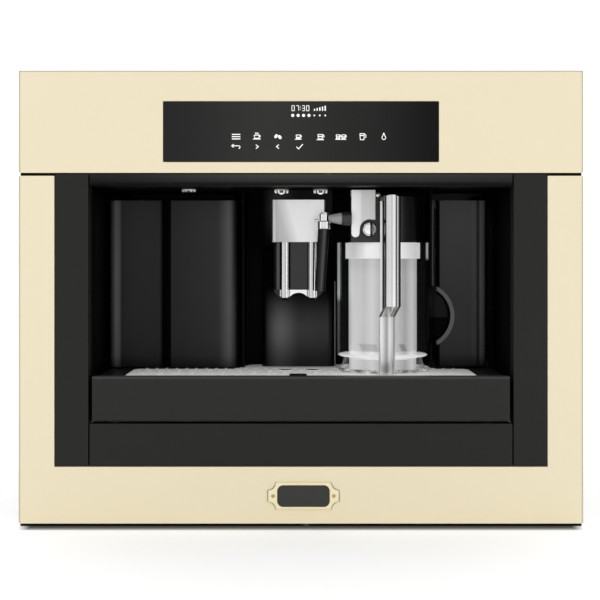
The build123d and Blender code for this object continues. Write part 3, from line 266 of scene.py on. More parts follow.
# ---------------------------------------------------------------- what a user may change
class CoffeeMachineColours(bpy.types.PropertyGroup):
    """Colours of the visible surfaces."""

    enamel: FloatVectorProperty(name="Enamel", description="Colour of the outer frame and the fascia",
                                subtype="COLOR", size=3, min=0, max=1, default=(0.835, 0.745, 0.53))
    sheet: FloatVectorProperty(name="Black sheet", description="Colour of the inner fronts",
                               subtype="COLOR", size=3, min=0, max=1, default=(0.0125, 0.0125, 0.0115))
    signs: FloatVectorProperty(name="Signs", description="Colour of the lit signs on the glass",
                               subtype="COLOR", size=3, min=0, max=1, default=(0.80, 0.80, 0.78))


class CoffeeMachineSizes(bpy.types.PropertyGroup):
    """Sizes of the fittings that the scene adds."""

    plate_width: FloatProperty(name="Plate width", description="Width of the bare brass plate",
                               unit="LENGTH", default=0.0748, min=0.02, max=0.2)
    plate_height: FloatProperty(name="Plate height", description="Height of the bare brass plate",
                                unit="LENGTH", default=0.0284, min=0.01, max=0.05)
    outlet_pitch: FloatProperty(name="Outlet pitch", description="Between the two coffee outlets",
                                unit="LENGTH", default=0.030, min=0.01, max=0.08)
    camera_distance: FloatProperty(name="Camera distance", description="Camera to the front",
                                   unit="LENGTH", default=1.3, min=0.5, max=5)
    camera_height: FloatProperty(name="Camera height", description="Camera over the niche floor",
                                 unit="LENGTH", default=0.285, min=0.1, max=1)


def colours():
    return bpy.context.scene.coffee_colours


def sizes():
    return bpy.context.scene.coffee_sizes


def rgb(colour):
    return tuple(colour[:3])


# ---------------------------------------------------------------- operators
class OBJECT_OT_coffee_finish_frame(bpy.types.Operator):
    """Give every CAD piece its finish"""

    bl_idname = "object.coffee_finish_frame"
    bl_label = "Finish the CAD pieces"

    def execute(self, context):
        black = rgb(colours().sheet)
        by_slot = {
            "cream_enamel": grained("Cream enamel", rgb(colours().enamel), 0.42, 0.012, PAINT_RELIEF, 700),
            "black_panel": grained("Satin black sheet", black, 0.45, 0.06, PAINT_RELIEF,
                                  Specular_IOR_Level=0.2),
            "galvanised_steel": brushed("Zinc coated sheet", (0.50, 0.51, 0.52), 0.42, "X", 0.9, 0.1),
            "slide_steel": brushed("Zinc plated slide", (0.46, 0.47, 0.49), 0.34, "Y"),
            # a shaded copy of black moulding, ten times darker: painted shade inside the cavity
            "cavity_black": grained("Cavity shade moulding", (0.0014, 0.0013, 0.0013), 0.5, 0.1, 0.00004, 1400,
                                   Specular_IOR_Level=0.05),
            "door_black": door_moulding(),
            "black_plastic": grained("Black moulding", (0.012, 0.012, 0.012), 0.34, 0.08, MOULD_RELIEF, 1500),
            "grey_plastic": grained("Grey moulding", (0.22, 0.22, 0.22), 0.5, 0.06, 0.00005, 1100),
            "soft_black": grained("Soft black", (0.010, 0.010, 0.010), 0.42, 0.08, MOULD_RELIEF, 1200),
            "board_green": grained("Circuit board", (0.02, 0.14, 0.05), 0.4, 0.15, MOULD_RELIEF, 800),
            "satin_silver": brushed("Satin silver", (0.66, 0.66, 0.64), 0.30, "Z", 0.85, 0.04),
            "chrome": polished("Chrome", (0.78, 0.78, 0.78), 0.05),
            "stainless": brushed("Stainless", (0.72, 0.72, 0.70), 0.42, "X", 0.0),
            "cast_aluminium": grained("Cast aluminium", (0.55, 0.56, 0.57), 0.5, 0.1, 0.0001, 500,
                                      Metallic=0.9),
            "burr_steel": brushed("Ground steel", (0.5, 0.5, 0.5), 0.3, "Z"),
            "clear_plastic": clear("Clear moulding", (0.75, 0.78, 0.79), 0.02, 0.05, edge=0.25),
            "frosted_plastic": frosted_moulding(),
            "smoked_plastic": clear("Smoked moulding", (0.12, 0.10, 0.09), 0.55, 0.08),
            "lamp_cover": clear("Lamp lens", (0.86, 0.86, 0.82), 0.9, 0.25),
            "dark_glass": touch_glass(),
        }
        for part in frame["record"]["subparts"]:
            put_on(NODES[part["node"]], by_slot[part["material_slot"]])
        put_on(NODES["lintel"], lintel_sheet())
        for name in ("control_fascia", "front_frame"):
            put_on(NODES[name], enamel())
        put_on(NODES["spout_cover"], spout_silver())
        put_on(NODES["spout_outlet"], painted_reflection_chrome("Outlet chrome", (0, 0), (1, 0), outlet_tones(), 0.08))
        put_on(NODES["spout_body"], spout_moulding())
        put_on(NODES["milk_tube"], tube_rubber())
        put_on(NODES["tank_front"], tank_moulding())
        put_on(NODES["spout_column"], column_moulding())
        # these parts take the cavity's black of painted shade
        for name in ("door_brackets", "brew_frame", "thermoblock", "steam_nozzle"):
            put_on(NODES[name], by_slot["cavity_black"])
        put_on(NODES["water_tank"], clear("Tank moulding", (0.05, 0.055, 0.06), 0.04, 0.06, edge=0.2,
                                          specular=0.05))
        put_on(NODES["drawer_front"], edged_sheet("Drawer sheet", 0.0165, corners("drawer_front")[1][2]))
        put_on(NODES["drip_grille"], grille_steel())
        return {"FINISHED"}


def enamel():
    """Cream enamel, with painted shade along the top and side edges of the front: darker in a thin band
    there.
    """
    finish = Finish("Cream front")
    cloud = finish.noise(14.0, 3.0)

    def edge(place, reach):
        reach = float(reach) / MM
        return finish.profile(place, [(0.0, 0.0), (reach - 1.4, 0.0), (reach - 0.9, 0.45), (reach, 0.62)])

    side = edge(finish.axis(0).absolute(), FASCIA[1][0])
    head = edge(finish.axis(2), FASCIA[1][2])
    near = finish.profile(finish.axis(1) - FRONT_Y, [(-2.0, 1.0), (2.4, 1.0), (3.2, 0.0), (4.0, 0.0)])
    # side and head paint shade along the front's top and side edges
    level = 0.985 + cloud * 0.02 - (side + head).at_most(0.62) * near
    finish.set(Base_Color=finish.shade(rgb(colours().enamel), level), Roughness=0.40 + cloud * 0.04)
    finish.bump(finish.noise(700.0, 1.0), PAINT_RELIEF)
    return finish.material


def edged_sheet(name, level, top):
    """Satin black sheet with a painted highlight: a paler line along its folded top edge."""
    finish = Finish(name)
    # painted highlight: the top edge is painted paler than the rest of the sheet
    line = level * 3.4
    painted_edge_highlight = finish.profile(finish.axis(2) - float(top), [(-40.0, level), (-3.0, level), (-1.8, level * 2.2),
                                                        (-0.9, line), (0.0, line), (2.0, level)])
    cloud = finish.noise(14.0, 3.0)
    finish.set(Base_Color=finish.shade((1, 1, 0.93), painted_edge_highlight * (0.94 + cloud * 0.12)),
               Roughness=0.42 + cloud * 0.06, Specular_IOR_Level=0.2)
    finish.bump(finish.noise(900.0, 1.0), PAINT_RELIEF)
    return finish.material


def lintel_sheet():
    """Bar over the cavity: its front leans back, so it takes more light above than below, and more in
    the middle than at its ends."""
    finish = Finish("Lintel sheet")
    bottom = float(corners("lintel")[0][2])
    rise = finish.profile(finish.axis(2) - bottom, [(-1.0, 0.0), (0.5, 0.02), (2.0, 0.0), (5.0, 0.025),
                                                    (15.0, 0.06), (30.0, 0.06)])
    across = finish.profile(finish.axis(0), [(-240.0, 0.3), (0.0, 1.0), (240.0, 0.6)], "EASE")
    cloud = finish.noise(14.0, 3.0)
    finish.set(Base_Color=finish.shade((1, 1, 0.97), rise * across), Roughness=0.45 + cloud * 0.06,
               Specular_IOR_Level=0.08)
    finish.bump(finish.noise(900.0, 1.0), PAINT_RELIEF)
    return finish.material


def grille_steel():
    """Brushed grille: long strokes along X, with painted light: brighter towards its front, and a faint glow
    all over.
    """
    finish = Finish("Grille steel")
    strokes = finish.noise(1.0, 3.0, (6, 420, 420))
    # near is painted light: brighter where light falls in from the front
    near = finish.profile(finish.axis(1) - FRONT_Y, [(0.0, 1.0), (30.0, 1.0), (90.0, 0.80), (200.0, 0.62)])
    tone = near * (0.90 + strokes * 0.2)
    finish.set(Base_Color=finish.shade((0.95, 0.95, 0.93), tone), Roughness=0.45 + strokes * 0.1,
               Emission_Color=finish.shade(WHITE, tone), Emission_Strength=0.12)
    finish.bump(strokes, MOULD_RELIEF, 0.2)
    return finish.material


def moulding(name, painted_sheen, body=None, gloss=1.6):
    """Black moulding with painted highlights: its clear skin takes a coat only where the painted sheen lays
    one, and its body may be painted paler where highlights fall."""
    finish = Finish(name)
    cloud = finish.noise(30.0, 3.0)
    # shine is painted highlight, laid on as coat
    shine = painted_sheen(finish) * (0.94 + cloud * 0.12)
    tone = body(finish) if body else 0.0
    finish.set(Base_Color=finish.blend((0.0012, 0.0012, 0.0012), WHITE, tone + cloud * 0.0008),
               Roughness=0.4 + cloud * 0.06, Specular_IOR_Level=0.0, Coat_Weight=shine,
               Coat_Roughness=0.35, Coat_IOR=gloss)
    finish.bump(finish.noise(1500.0, 1.0), MOULD_RELIEF)
    return finish.material


def frosted_moulding():
    """Frosted vessel: its curved wall gathers the light in soft upright bands."""
    finish = Finish("Frosted moulding")
    cloud = finish.noise(22.0, 3.0)
    # bright by its left edge, duller over the middle, one dark band and a bright right edge
    bands = [(53.0, 0.55), (57.0, 0.7), (69.0, 0.5), (78.0, 0.6), (86.0, 0.5), (104.0, 0.5), (114.0, 0.35),
             (122.0, 0.6), (129.0, 0.5)]
    tone = finish.profile(finish.axis(0), bands) * (0.98 + cloud * 0.04)
    # rise paints a bright ring low on the vessel as a highlight
    rise = finish.profile(finish.axis(2), [(172.0, 1.1), (173.0, 1.3), (179.0, 1.3), (181.0, 1.0),
                                           (265.0, 1.0), (282.0, 0.85)])
    # two grey patches low on the wall, their sides leaning
    lean = finish.axis(0) + (finish.axis(2) - 0.185) * 0.45
    patch = finish.profile(lean, [(64.0, 0.0), (66.0, 0.25), (83.0, 0.25), (84.0, 0.0), (107.0, 0.0),
                                  (109.0, 0.4), (114.0, 0.4), (115.0, 0.0)])
    low = finish.profile(finish.axis(2), [(180.4, 0.0), (181.4, 1.0), (188.0, 1.0), (189.6, 0.0)])
    shade = finish.shade(WHITE, tone * rise * (1.0 - patch * low))
    # the emission makes the whole vessel glow: painted light
    finish.set(Base_Color=shade, Alpha=0.96, Roughness=0.5 + cloud * 0.1, IOR=1.47, Emission_Color=shade,
               Emission_Strength=0.30)
    return finish.material


def door_moulding():
    """Service door: painted highlights down the outer edges of its two lobes, fainter low down, and a dull
    groove between them.
    """
    def painted_sheen(finish):
        across = [(-219.0, 0.0), (-212.0, 0.9), (-205.0, 0.8), (-204.0, 0.4), (-159.0, 0.35), (-158.0, 0.0),
                  (-148.0, 0.0), (-147.0, 0.35), (-95.0, 0.5), (-82.0, 1.0), (-73.0, 0.0)]
        fade = finish.profile(finish.axis(2), [(158.0, 0.35), (172.0, 0.85), (347.0, 1.15)])
        return finish.profile(finish.axis(0), across) * fade

    def body(finish):
        across = [(-219.0, 0.0), (-210.0, 0.2), (-204.0, 0.0), (-92.0, 0.0), (-80.0, 0.04), (-72.0, 0.0)]
        fade = finish.profile(finish.axis(2), [(158.0, 0.3), (172.0, 0.9), (347.0, 0.9)])
        return finish.profile(finish.axis(0), across) * fade

    return moulding("Door moulding", painted_sheen, body)


def tank_moulding():
    """Front of the tank with painted highlights: at its right edge, past a fine seam, down a strip at its
    left, and on the rim of the round finger recess, whose inside is left dark as painted shade."""
    low, _ = corners("tank_front")
    left = float(low[0]) / MM
    recess_x, recess_z = float(low[0]) - 0.0184, float(low[2]) + 0.0570
    recess_r = 37.7

    def reach(finish):
        """Distance from the middle of the finger recess."""
        x, z = finish.axis(0) - recess_x, finish.axis(2) - recess_z
        return (x * x + z * z) ** 0.5

    def painted_sheen(finish):
        across = [(left, 0.0), (157.0, 0.0), (158.0, 0.5), (196.0, 0.6), (201.0, 0.3), (204.0, 0.9),
                  (209.0, 0.4)]
        fade = finish.profile(finish.axis(2), [(158.0, 0.25), (175.0, 0.9), (240.0, 1.0), (346.0, 1.6)])
        # beyond keeps the painted highlight off the inside of the finger recess, which stays dark as shade
        beyond = finish.profile(reach(finish), [(0.0, 0.0), (recess_r + 0.2, 0.0), (recess_r + 0.4, 1.0),
                                                (60.0, 1.0)])
        return finish.profile(finish.axis(0), across) * fade * beyond

    def body(finish):
        across = [(left, 0.0), (148.0, 0.0), (149.0, 0.05), (151.0, 0.05), (152.0, 0.0), (192.0, 0.0),
                  (200.0, 0.03), (201.0, 0.0), (204.0, 0.15), (209.0, 0.15), (210.5, 0.0)]
        fade = finish.profile(finish.axis(2), [(158.0, 0.0), (175.0, 0.8), (346.0, 1.0)])
        away = reach(finish)
        # rim is a painted highlight round the finger recess
        rim = finish.profile(away, [(0.0, 0.0), (33.5, 0.0), (34.0, 0.18), (recess_r, 0.16), (38.0, 0.0),
                                    (60.0, 0.0)])
        beyond = finish.profile(away, [(0.0, 0.0), (recess_r, 0.0), (38.0, 1.0), (60.0, 1.0)])
        right_of_strip = (finish.axis(0) - 0.1500).above(0.0)
        return finish.profile(finish.axis(0), across) * fade * beyond + rim * right_of_strip

    return moulding("Tank front moulding", painted_sheen, body)


def spout_silver():
    """Satin cover of the spout with painted light: a painted highlight on a bevelled strip at its left, then
    a slanting fall of painted light.
    """
    finish = Finish("Spout silver")
    high = corners("spout_cover")[1][2]
    x, z = finish.axis(0), finish.axis(2)
    slanted = x - (float(high) - z) * 0.3
    fall = finish.profile(slanted, [(-45.0, 0.35), (-28.0, 0.5), (-15.0, 0.8), (27.0, 0.85)])
    strip = finish.profile(x, [(-32.0, 0.6), (-27.5, 0.55), (-26.6, 0.0), (0.0, 0.0)])
    tone = fall * (x + 0.0268).above(0.0) + strip
    strokes = finish.noise(1.0, 3.0, (420, 420, 3))
    finish.set(Base_Color=finish.shade((1, 1, 0.997), tone * (0.97 + strokes * 0.05)), Metallic=0.5,
               Roughness=0.30 + strokes * 0.05)
    return finish.material


def outlet_tones():
    """Tones of painted reflection across the chrome outlets: dark beyond them, the bright lip between them,
    and each tube grey with one bright line at its right and a dark line at both edges. Places are in
    millimetres."""
    tube = [(-5.5, 0.1), (-4.5, 0.65), (-0.5, 0.6), (1.0, 0.4), (2.0, 0.95), (4.0, 0.95), (5.0, 0.1)]
    low, high = corners("spout_outlet")
    middle = float(low[0] + high[0]) / 2 / MM
    half = sizes().outlet_pitch / 2 / MM
    left, right = ([(middle + side * half + x, tone) for x, tone in tube] for side in (-1, 1))
    lip = [(left[-1][0] + 1.0, 0.85), (right[0][0] - 1.0, 0.85)]
    return [(left[0][0] - 1.0, 0.03), *left, *lip, *right, (right[-1][0] + 1.0, 0.03)]


def spout_moulding():
    """Dark body of the spout with painted sheen, more on its left flank than on the flat between the tubes.
    """
    def painted_sheen(finish):
        across = [(-27.0, 1.3), (-23.5, 1.3), (-23.0, 0.0), (-12.0, 0.0), (-11.0, 0.8), (6.5, 0.8),
                  (7.5, 0.0), (26.0, 0.0)]
        return finish.profile(finish.axis(0), across)

    return moulding("Spout moulding", painted_sheen)


def tube_rubber():
    """Black tube of the milk spout, with one soft painted highlight line down its length."""
    finish = Finish("Tube rubber")
    low, _ = corners("milk_tube")
    tip = float(low[0]) + 0.0057
    lean = finish.axis(0) - tip - (finish.axis(2) - float(low[2])) * 0.063
    # line is the painted highlight across the tube
    line = finish.profile(lean, [(-6.5, 0.0), (-1.5, 0.02), (1.0, 0.075), (4.0, 0.0)])
    cloud = finish.noise(60.0)
    finish.set(Base_Color=finish.shade(WHITE, line * (0.95 + cloud * 0.1)), Roughness=0.5 + cloud * 0.05,
               Specular_IOR_Level=0.08)
    return finish.material


def column_moulding():
    """Centre column: dull above, with a soft painted highlight low on the pillar that fades to both sides."""
    def painted_sheen(finish):
        across = [(-45.0, 0.0), (-24.0, 0.9), (0.0, 0.35), (40.0, 0.3)]
        up = [(158.0, 0.5), (200.0, 1.0), (252.0, 0.0), (290.0, 0.0), (345.0, 0.35)]
        return finish.profile(finish.axis(0), across, "EASE") * finish.profile(finish.axis(2), up, "EASE")

    return moulding("Column moulding", painted_sheen, gloss=1.9)


def put_on(piece, material):
    piece.data.materials.clear()
    piece.data.materials.append(material)


def touch_glass():
    """Black touch glass with painted sheen: its smoky tint is painted palest left of the middle, and its coat
    fades to the right.
    """
    finish = Finish("Touch glass")
    # across paints the sheen into the glass's colour
    across = [(-146.0, 0.003), (-30.0, 0.014), (60.0, 0.008), (146.0, 0.0)]
    tint = finish.profile(finish.axis(0), across, "EASE")
    finish.set(Base_Color=finish.shade((1.0, 1.0, 0.92), tint),
               Roughness=0.18 + (finish.noise(40.0) - 0.5) * 0.04, Specular_IOR_Level=0.1)
    coat = [(-146.0, 0.35), (-30.0, 0.45), (146.0, 0.1)]
    finish.set(Coat_Weight=finish.profile(finish.axis(0), coat), Coat_Roughness=0.1)
    return finish.material


class SCENE_OT_coffee_stage(bpy.types.Operator):
    """Set up the pale floor, the backdrop, the lights and the camera"""

    bl_idname = "scene.coffee_stage"
    bl_label = "Studio"

    def execute(self, context):
        scene = context.scene
        scene.view_settings.view_transform = "Standard"
        world = bpy.data.worlds.new("Studio")
        world.use_nodes = True
        studio_light(world.node_tree)
        scene.world = world
        floor_and_wall()
        contact_shadow()
        for name, x in (("Left softbox", -1.5), ("Right softbox", 1.5)):
            light(name, (x, -1.3, 0.9), (0, -0.1, 0.25), (0.35, 1.5), 3)
        camera = bpy.data.cameras.new("Camera")
        camera.sensor_width = 36
        camera.lens = 74
        picture = 600                # side of the square picture, in pixels
        camera.shift_x = -1 / picture
        camera.shift_y = -44 / picture
        camera.clip_start = 0.05
        view = bpy.data.objects.new("Camera", camera)
        view.location = (0, FRONT_Y - sizes().camera_distance, sizes().camera_height)
        view.rotation_euler = (math.pi / 2, 0, 0)
        scene.collection.objects.link(view)
        scene.camera = view
        return {"FINISHED"}


def studio_light(tree):
    """Even light from the front and above, dimmer at the two sides, as between two black flags."""
    way = tree.nodes.new("ShaderNodeTexCoord")
    split = tree.nodes.new("ShaderNodeSeparateXYZ")
    sideways = tree.nodes.new("ShaderNodeMath")
    sideways.operation = "ABSOLUTE"
    ramp = tree.nodes.new("ShaderNodeValToRGB")
    ramp.color_ramp.interpolation = "EASE"
    stops = ((0.0, 0.925), (0.62, 0.915), (0.80, 0.30), (1.0, 0.22))
    for index, (place, shade) in enumerate(stops):
        stop = ramp.color_ramp.elements[index] if index < 2 else ramp.color_ramp.elements.new(place)
        stop.position = place
        stop.color = (shade, shade, shade, 1)
    tree.links.new(way.outputs["Generated"], split.inputs[0])
    tree.links.new(split.outputs[0], sideways.inputs[0])
    tree.links.new(sideways.outputs[0], ramp.inputs[0])
    tree.links.new(ramp.outputs[0], tree.nodes["Background"].inputs[0])


def light(name, place, aim, size, power):
    """Rectangular area light that points at a place."""
    data = bpy.data.lights.new(name, "AREA")
    data.shape = "RECTANGLE"
    data.size, data.size_y = size
    data.energy = power
    made = bpy.data.objects.new(name, data)
    away = np.subtract(place, aim)
    flat = math.hypot(away[0], away[1])
    made.location = place
    made.rotation_euler = (math.atan2(flat, away[2]), 0, math.atan2(away[0], -away[1]))
    bpy.context.scene.collection.objects.link(made)


def floor_and_wall():
    """Floor that sweeps up into a wall: a quarter round between two flats."""
    bend, near, far, top, half = 0.8, -9.0, 2.2, 4.0, 8.0
    turn = np.linspace(0, math.pi / 2, 25)
    depth = np.concatenate(([near], far - bend + bend * np.sin(turn), [far]))
    high = np.concatenate(([0.0], bend - bend * np.cos(turn), [top]))
    across = np.linspace(-half, half, 3)
    grid = np.stack(np.broadcast_arrays(across[:, None], depth[None, :], high[None, :]), -1)
    piece = surface("studio_floor", grid)
    finish = Finish("Studio white")
    cloud = finish.noise(3.0)
    finish.set(Base_Color=finish.blend((0.93, 0.93, 0.93), (0.95, 0.95, 0.95), cloud),
               Roughness=0.9 - cloud * 0.05, Emission_Color=(1.0, 1.0, 1.0), Emission_Strength=0.3)
    put_on(piece, finish.material)


def contact_shadow():
    """Soft dark line on the floor along the foot of the front, thinner away from it. It takes no part in
    the light that the floor throws back."""
    half = float(FRAME[1][0]) - 0.5 * MM
    depth = FRONT_Y + np.linspace(-22.0, 8.0, 4) * MM
    across = np.linspace(-half, half, 3)
    over_floor = np.float64(0.2 * MM)
    grid = np.stack(np.broadcast_arrays(across[:, None], depth[None, :], over_floor), -1)
    piece = surface("studio_shadow", grid)
    finish = Finish("Contact shadow")
    dark = finish.profile(finish.axis(1) - FRONT_Y, [(-22.0, 0.0), (-16.0, 0.6), (-8.0, 0.9), (8.0, 0.97)])
    ends = finish.profile(finish.axis(0).absolute(), [(0.0, 1.0), (half / MM - 12.0, 1.0), (half / MM, 0.0)])
    finish.set(Base_Color=(0.004, 0.004, 0.004), Roughness=0.9, Specular_IOR_Level=0.0,
               Alpha=dark * ends * (0.99 + finish.noise(20.0) * 0.01))
    put_on(piece, finish.material)
    piece.visible_diffuse = piece.visible_glossy = False


# ---------------------------------------------------------------- mesh from arrays
def surface(name, grid, round_u=False, round_v=False):
    """Quads over a grid of points. grid[i, j] is the point at the i-th step of the first parameter
    and the j-th of the second; a round parameter joins its last step to its first."""
    steps_u, steps_v = grid.shape[:2]
    index = np.arange(steps_u * steps_v).reshape(steps_u, steps_v)
    near = index if round_u else index[:-1]
    far = np.roll(index, -1, 0) if round_u else index[1:]
    if round_v:
        quads = np.stack([near, far, np.roll(far, -1, 1), np.roll(near, -1, 1)], -1)
    else:
        quads = np.stack([near[:, :-1], far[:, :-1], far[:, 1:], near[:, 1:]], -1)
    quads = quads.reshape(-1, 4)
    mesh = bpy.data.meshes.new(name)
    mesh.from_pydata(grid.reshape(-1, 3).tolist(), [], quads.tolist())
    mesh.shade_smooth()
    piece = bpy.data.objects.new(name, mesh)
    bpy.context.scene.collection.objects.link(piece)
    return piece


# ---------------------------------------------------------------- signs on the touch glass
def ribbon(points, wide):
    """Flat stroke along a polyline (n, 2): each point is offset both ways along the mitre of its two
    runs, so the stroke keeps its width round corners."""
    points = np.asarray(points, float)
    runs = np.diff(points, axis=0)
    runs /= np.linalg.norm(runs, axis=1, keepdims=True)
    normals = np.stack([-runs[:, 1], runs[:, 0]], -1)
    before = np.vstack([normals[:1], normals])
    after = np.vstack([normals, normals[-1:]])
    mitre = (before + after) / (1 + (before * after).sum(1, keepdims=True))
    return np.stack([points - mitre * wide / 2, points + mitre * wide / 2], 1)


def disc(centre, half, turn=0.0, sides=20):
    """Filled oval: rings of points that shrink onto the centre, turned by an angle."""
    round_about = np.linspace(0, TAU, sides + 1)
    ring = np.stack([half[0] * np.cos(round_about), half[1] * np.sin(round_about)], -1)
    c, s = math.cos(turn), math.sin(turn)
    ring = ring @ np.array([[c, s], [-s, c]])
    return np.stack([ring, ring * 0.02], 1) + np.asarray(centre)


def arc(centre, radius, start, end, steps=14):
    """Points on part of a circle or an oval, angles in degrees."""
    turn = np.radians(np.linspace(start, end, steps))
    radius = np.broadcast_to(radius, 2)
    return np.stack([centre[0] + radius[0] * np.cos(turn), centre[1] + radius[1] * np.sin(turn)], -1)


def cup_sign(wide, high, fill, saucer, steam):
    """Cup seen from the side: bowl, handle, a filled part, a saucer and wisps of steam."""
    half = wide / 2
    bowl = [(-half, high / 2), (-half * 0.8, -high / 2), (half * 0.8, -high / 2), (half, high / 2)]
    strokes = [ribbon(bowl + bowl[:1], 0.75), ribbon(arc((half, high * 0.1), high * 0.3, 80, -80), 0.7)]
    level = -high / 2 + high * fill
    strokes.append(ribbon([(-half * 0.85, level), (half * 0.85, level)], 0.5))
    if fill:
        strokes.append(ribbon([(-half * 0.8, level - 0.5), (half * 0.8, level - 0.5)], 0.6))
    if saucer:
        strokes.append(ribbon([(-half * 1.5, -high / 2 - 0.9), (half * 1.5, -high / 2 - 0.9)], 0.85))
    for x in np.linspace(-half * 0.5, half * 0.5, steam):
        rise = np.linspace(0, 1, 8)
        wisp = np.stack([x + 0.35 * np.sin(rise * TAU), high / 2 + 0.7 + 2.2 * rise], -1)
        strokes.append(ribbon(wisp, 0.55))
    return strokes


def drop_sign(size):
    """Drop: an arc that closes in two tangents at its tip."""
    rim = arc((0, -size * 0.25), size * 0.5, -230, 50, 18)
    return [ribbon(np.vstack([[(0, size)], rim, [(0, size)]]), 0.8)]


def bean_sign():
    """Two coffee beans: ovals that lean apart."""
    return [disc(centre, (2.3, 1.6), turn) for centre, turn in (((-1.9, 0.5), 1.0), ((2.1, -0.5), 2.1))]


def digit(figure):
    """Digit of the clock, from up to seven straight bars."""
    x, z = 1.3, 2.7              # half its width and height
    bars = {"a": ((-x, z), (x, z)), "b": ((x, z), (x, 0)), "c": ((x, 0), (x, -z)),
            "d": ((-x, -z), (x, -z)), "e": ((-x, 0), (-x, -z)), "f": ((-x, z), (-x, 0)),
            "g": ((-x, 0), (x, 0))}
    lit = {"0": "abcdef", "3": "abgcd", "7": "abc"}[figure]
    return [ribbon(bars[bar], 0.62) for bar in lit]


def glass_signs():
    """Every sign with its place on the front, in millimetres from the glass's lower left corner."""
    clock_x, clock_z, figure_pitch, pair_gap = 137.0, 56.6, 4.6, 1.6
    signs = []
    for index, figure in enumerate("0730"):
        x = clock_x + index * figure_pitch + (pair_gap if index > 1 else 0)
        signs.append(((x, clock_z), digit(figure)))
    colon = [disc((0, z), (0.42, 0.42)) for z in (1.2, -1.2)]
    signs.append(((clock_x + 7.7, clock_z), colon))
    # seven dots, four of them large, and five bars of a rising level
    for index in range(7):
        half = 1.6 if index < 4 else 0.9
        signs.append(((136.6 + index * 5.7, 49.0), [disc((0, 0), (half, half))]))
    for index in range(5):
        bar = ribbon([(0, -2.7), (0, -0.6 + 0.8 * index)], 1.3)
        signs.append(((159.6 + index * 2.8, clock_z), [bar]))
    upper, lower = 26.6, 16.1
    menu = [ribbon([(-4.5, z), (4.5, z)], 1.0) for z in (-2.4, 0, 2.4)]
    cups = [stroke + (x, 0) for x in (-2.9, 2.9) for stroke in cup_sign(3.8, 3.8, 0.5, True, 0)]
    signs += [((76.9, upper), menu),
              ((98.7, upper), cup_sign(5.4, 3.2, 0, True, 3)),
              ((120.9, upper), bean_sign()),
              ((142.4, upper), cup_sign(4.6, 3.6, 0.35, True, 0)),
              ((165.7, upper), cup_sign(5.2, 4.6, 0.6, True, 0)),
              ((187.2, upper), cups),
              ((209.7, upper), cup_sign(4.6, 6.4, 0.75, False, 0)),
              ((232.6, upper), drop_sign(4.0))]
    # an arrow back, two pointed brackets and a tick
    shaft = ribbon([(-4.6, 0.9), (2.7, 0.9)], 0.85)
    hook = ribbon(arc((2.6, -0.5), (1.5, 1.4), 90, -90, 8), 0.85)
    barb = ribbon([(-2.6, 2.7), (-4.6, 0.9), (-2.6, -0.9)], 0.85)
    signs += [((76.9, lower), [shaft, hook, barb]),
              ((98.9, lower), [ribbon([(-1.2, 2.0), (1.4, 0), (-1.2, -2.0)], 0.95)]),
              ((120.8, lower), [ribbon([(1.2, 2.0), (-1.4, 0), (1.2, -2.0)], 0.95)]),
              ((143.6, lower), [ribbon([(-3.2, -0.2), (-0.8, -2.4), (3.6, 2.6)], 0.95)])]
    return signs


class OBJECT_OT_coffee_signs(bpy.types.Operator):
    """Draw the lit signs, the clock, the level bars and the dots on the touch glass"""

    bl_idname = "object.coffee_signs"
    bl_label = "Signs on the glass"

    def execute(self, context):
        corner = np.array([GLASS[0][0], GLASS[0][2]])
        front = GLASS[0][1]
        grids = []
        for place, strokes in glass_signs():
            for stroke in strokes:
                flat = (stroke + place) * MM + corner
                deep = np.full(flat.shape[:2] + (1,), front - 0.02 * MM)
                grids.append(np.concatenate([flat[..., :1], deep, flat[..., 1:]], -1))
        signs = joined("glass_signs", grids)
        thicken(signs, 0.06 * MM)
        finish = Finish("Lit sign")
        cloud = finish.noise(200.0)
        colour = rgb(colours().signs)
        finish.set(Base_Color=finish.blend(tuple(c * 0.9 for c in colour), colour, cloud), Roughness=0.5,
                   Emission_Color=(*colour, 1), Emission_Strength=0.5)
        add(signs, finish.material, "appliance")
        return {"FINISHED"}


def joined(name, grids):
    """One piece from several grids of points."""
    points, faces, first = [], [], 0
    for grid in grids:
        steps_u, steps_v = grid.shape[:2]
        index = first + np.arange(steps_u * steps_v).reshape(steps_u, steps_v)
        faces.append(np.stack([index[:-1, :-1], index[1:, :-1], index[1:, 1:], index[:-1, 1:]],
                              -1).reshape(-1, 4))
        points.append(grid.reshape(-1, 3))
        first += steps_u * steps_v
    mesh = bpy.data.meshes.new(name)
    mesh.from_pydata(np.vstack(points).tolist(), [], np.vstack(faces).tolist())
    piece = bpy.data.objects.new(name, mesh)
    bpy.context.scene.collection.objects.link(piece)
    return piece


def thicken(piece, wall):
    solid = piece.modifiers.new("Thickness", "SOLIDIFY")
    solid.thickness = wall
    solid.offset = 1.0


# ---------------------------------------------------------------- bare brass plate
def star_radius(outline, angles):
    """Distance from the centre to an outline (n, 2) in each direction, for a star-shaped outline."""
    way = np.arctan2(outline[:, 1], outline[:, 0])
    order = np.argsort(way)
    return np.interp(angles, way[order], np.hypot(*outline[order].T), period=TAU)


def ticket_outline(half_x, half_z, bite):
    """Rectangle whose corners are bitten off by circles about the corners."""
    points = []
    for sx, sz, start in ((1, 1, 270), (-1, 1, 0), (-1, -1, 90), (1, -1, 180)):
        points.append(arc((sx * half_x, sz * half_z), bite, start, start - 90, 12))
    return dense(np.vstack(points))


def rounded_outline(half_x, half_z, radius):
    """Rectangle with rounded corners."""
    points = []
    for sx, sz, start in ((1, 1, 0), (-1, 1, 90), (-1, -1, 180), (1, -1, 270)):
        points.append(arc((sx * (half_x - radius), sz * (half_z - radius)), radius, start, start + 90, 12))
    return dense(np.vstack(points))


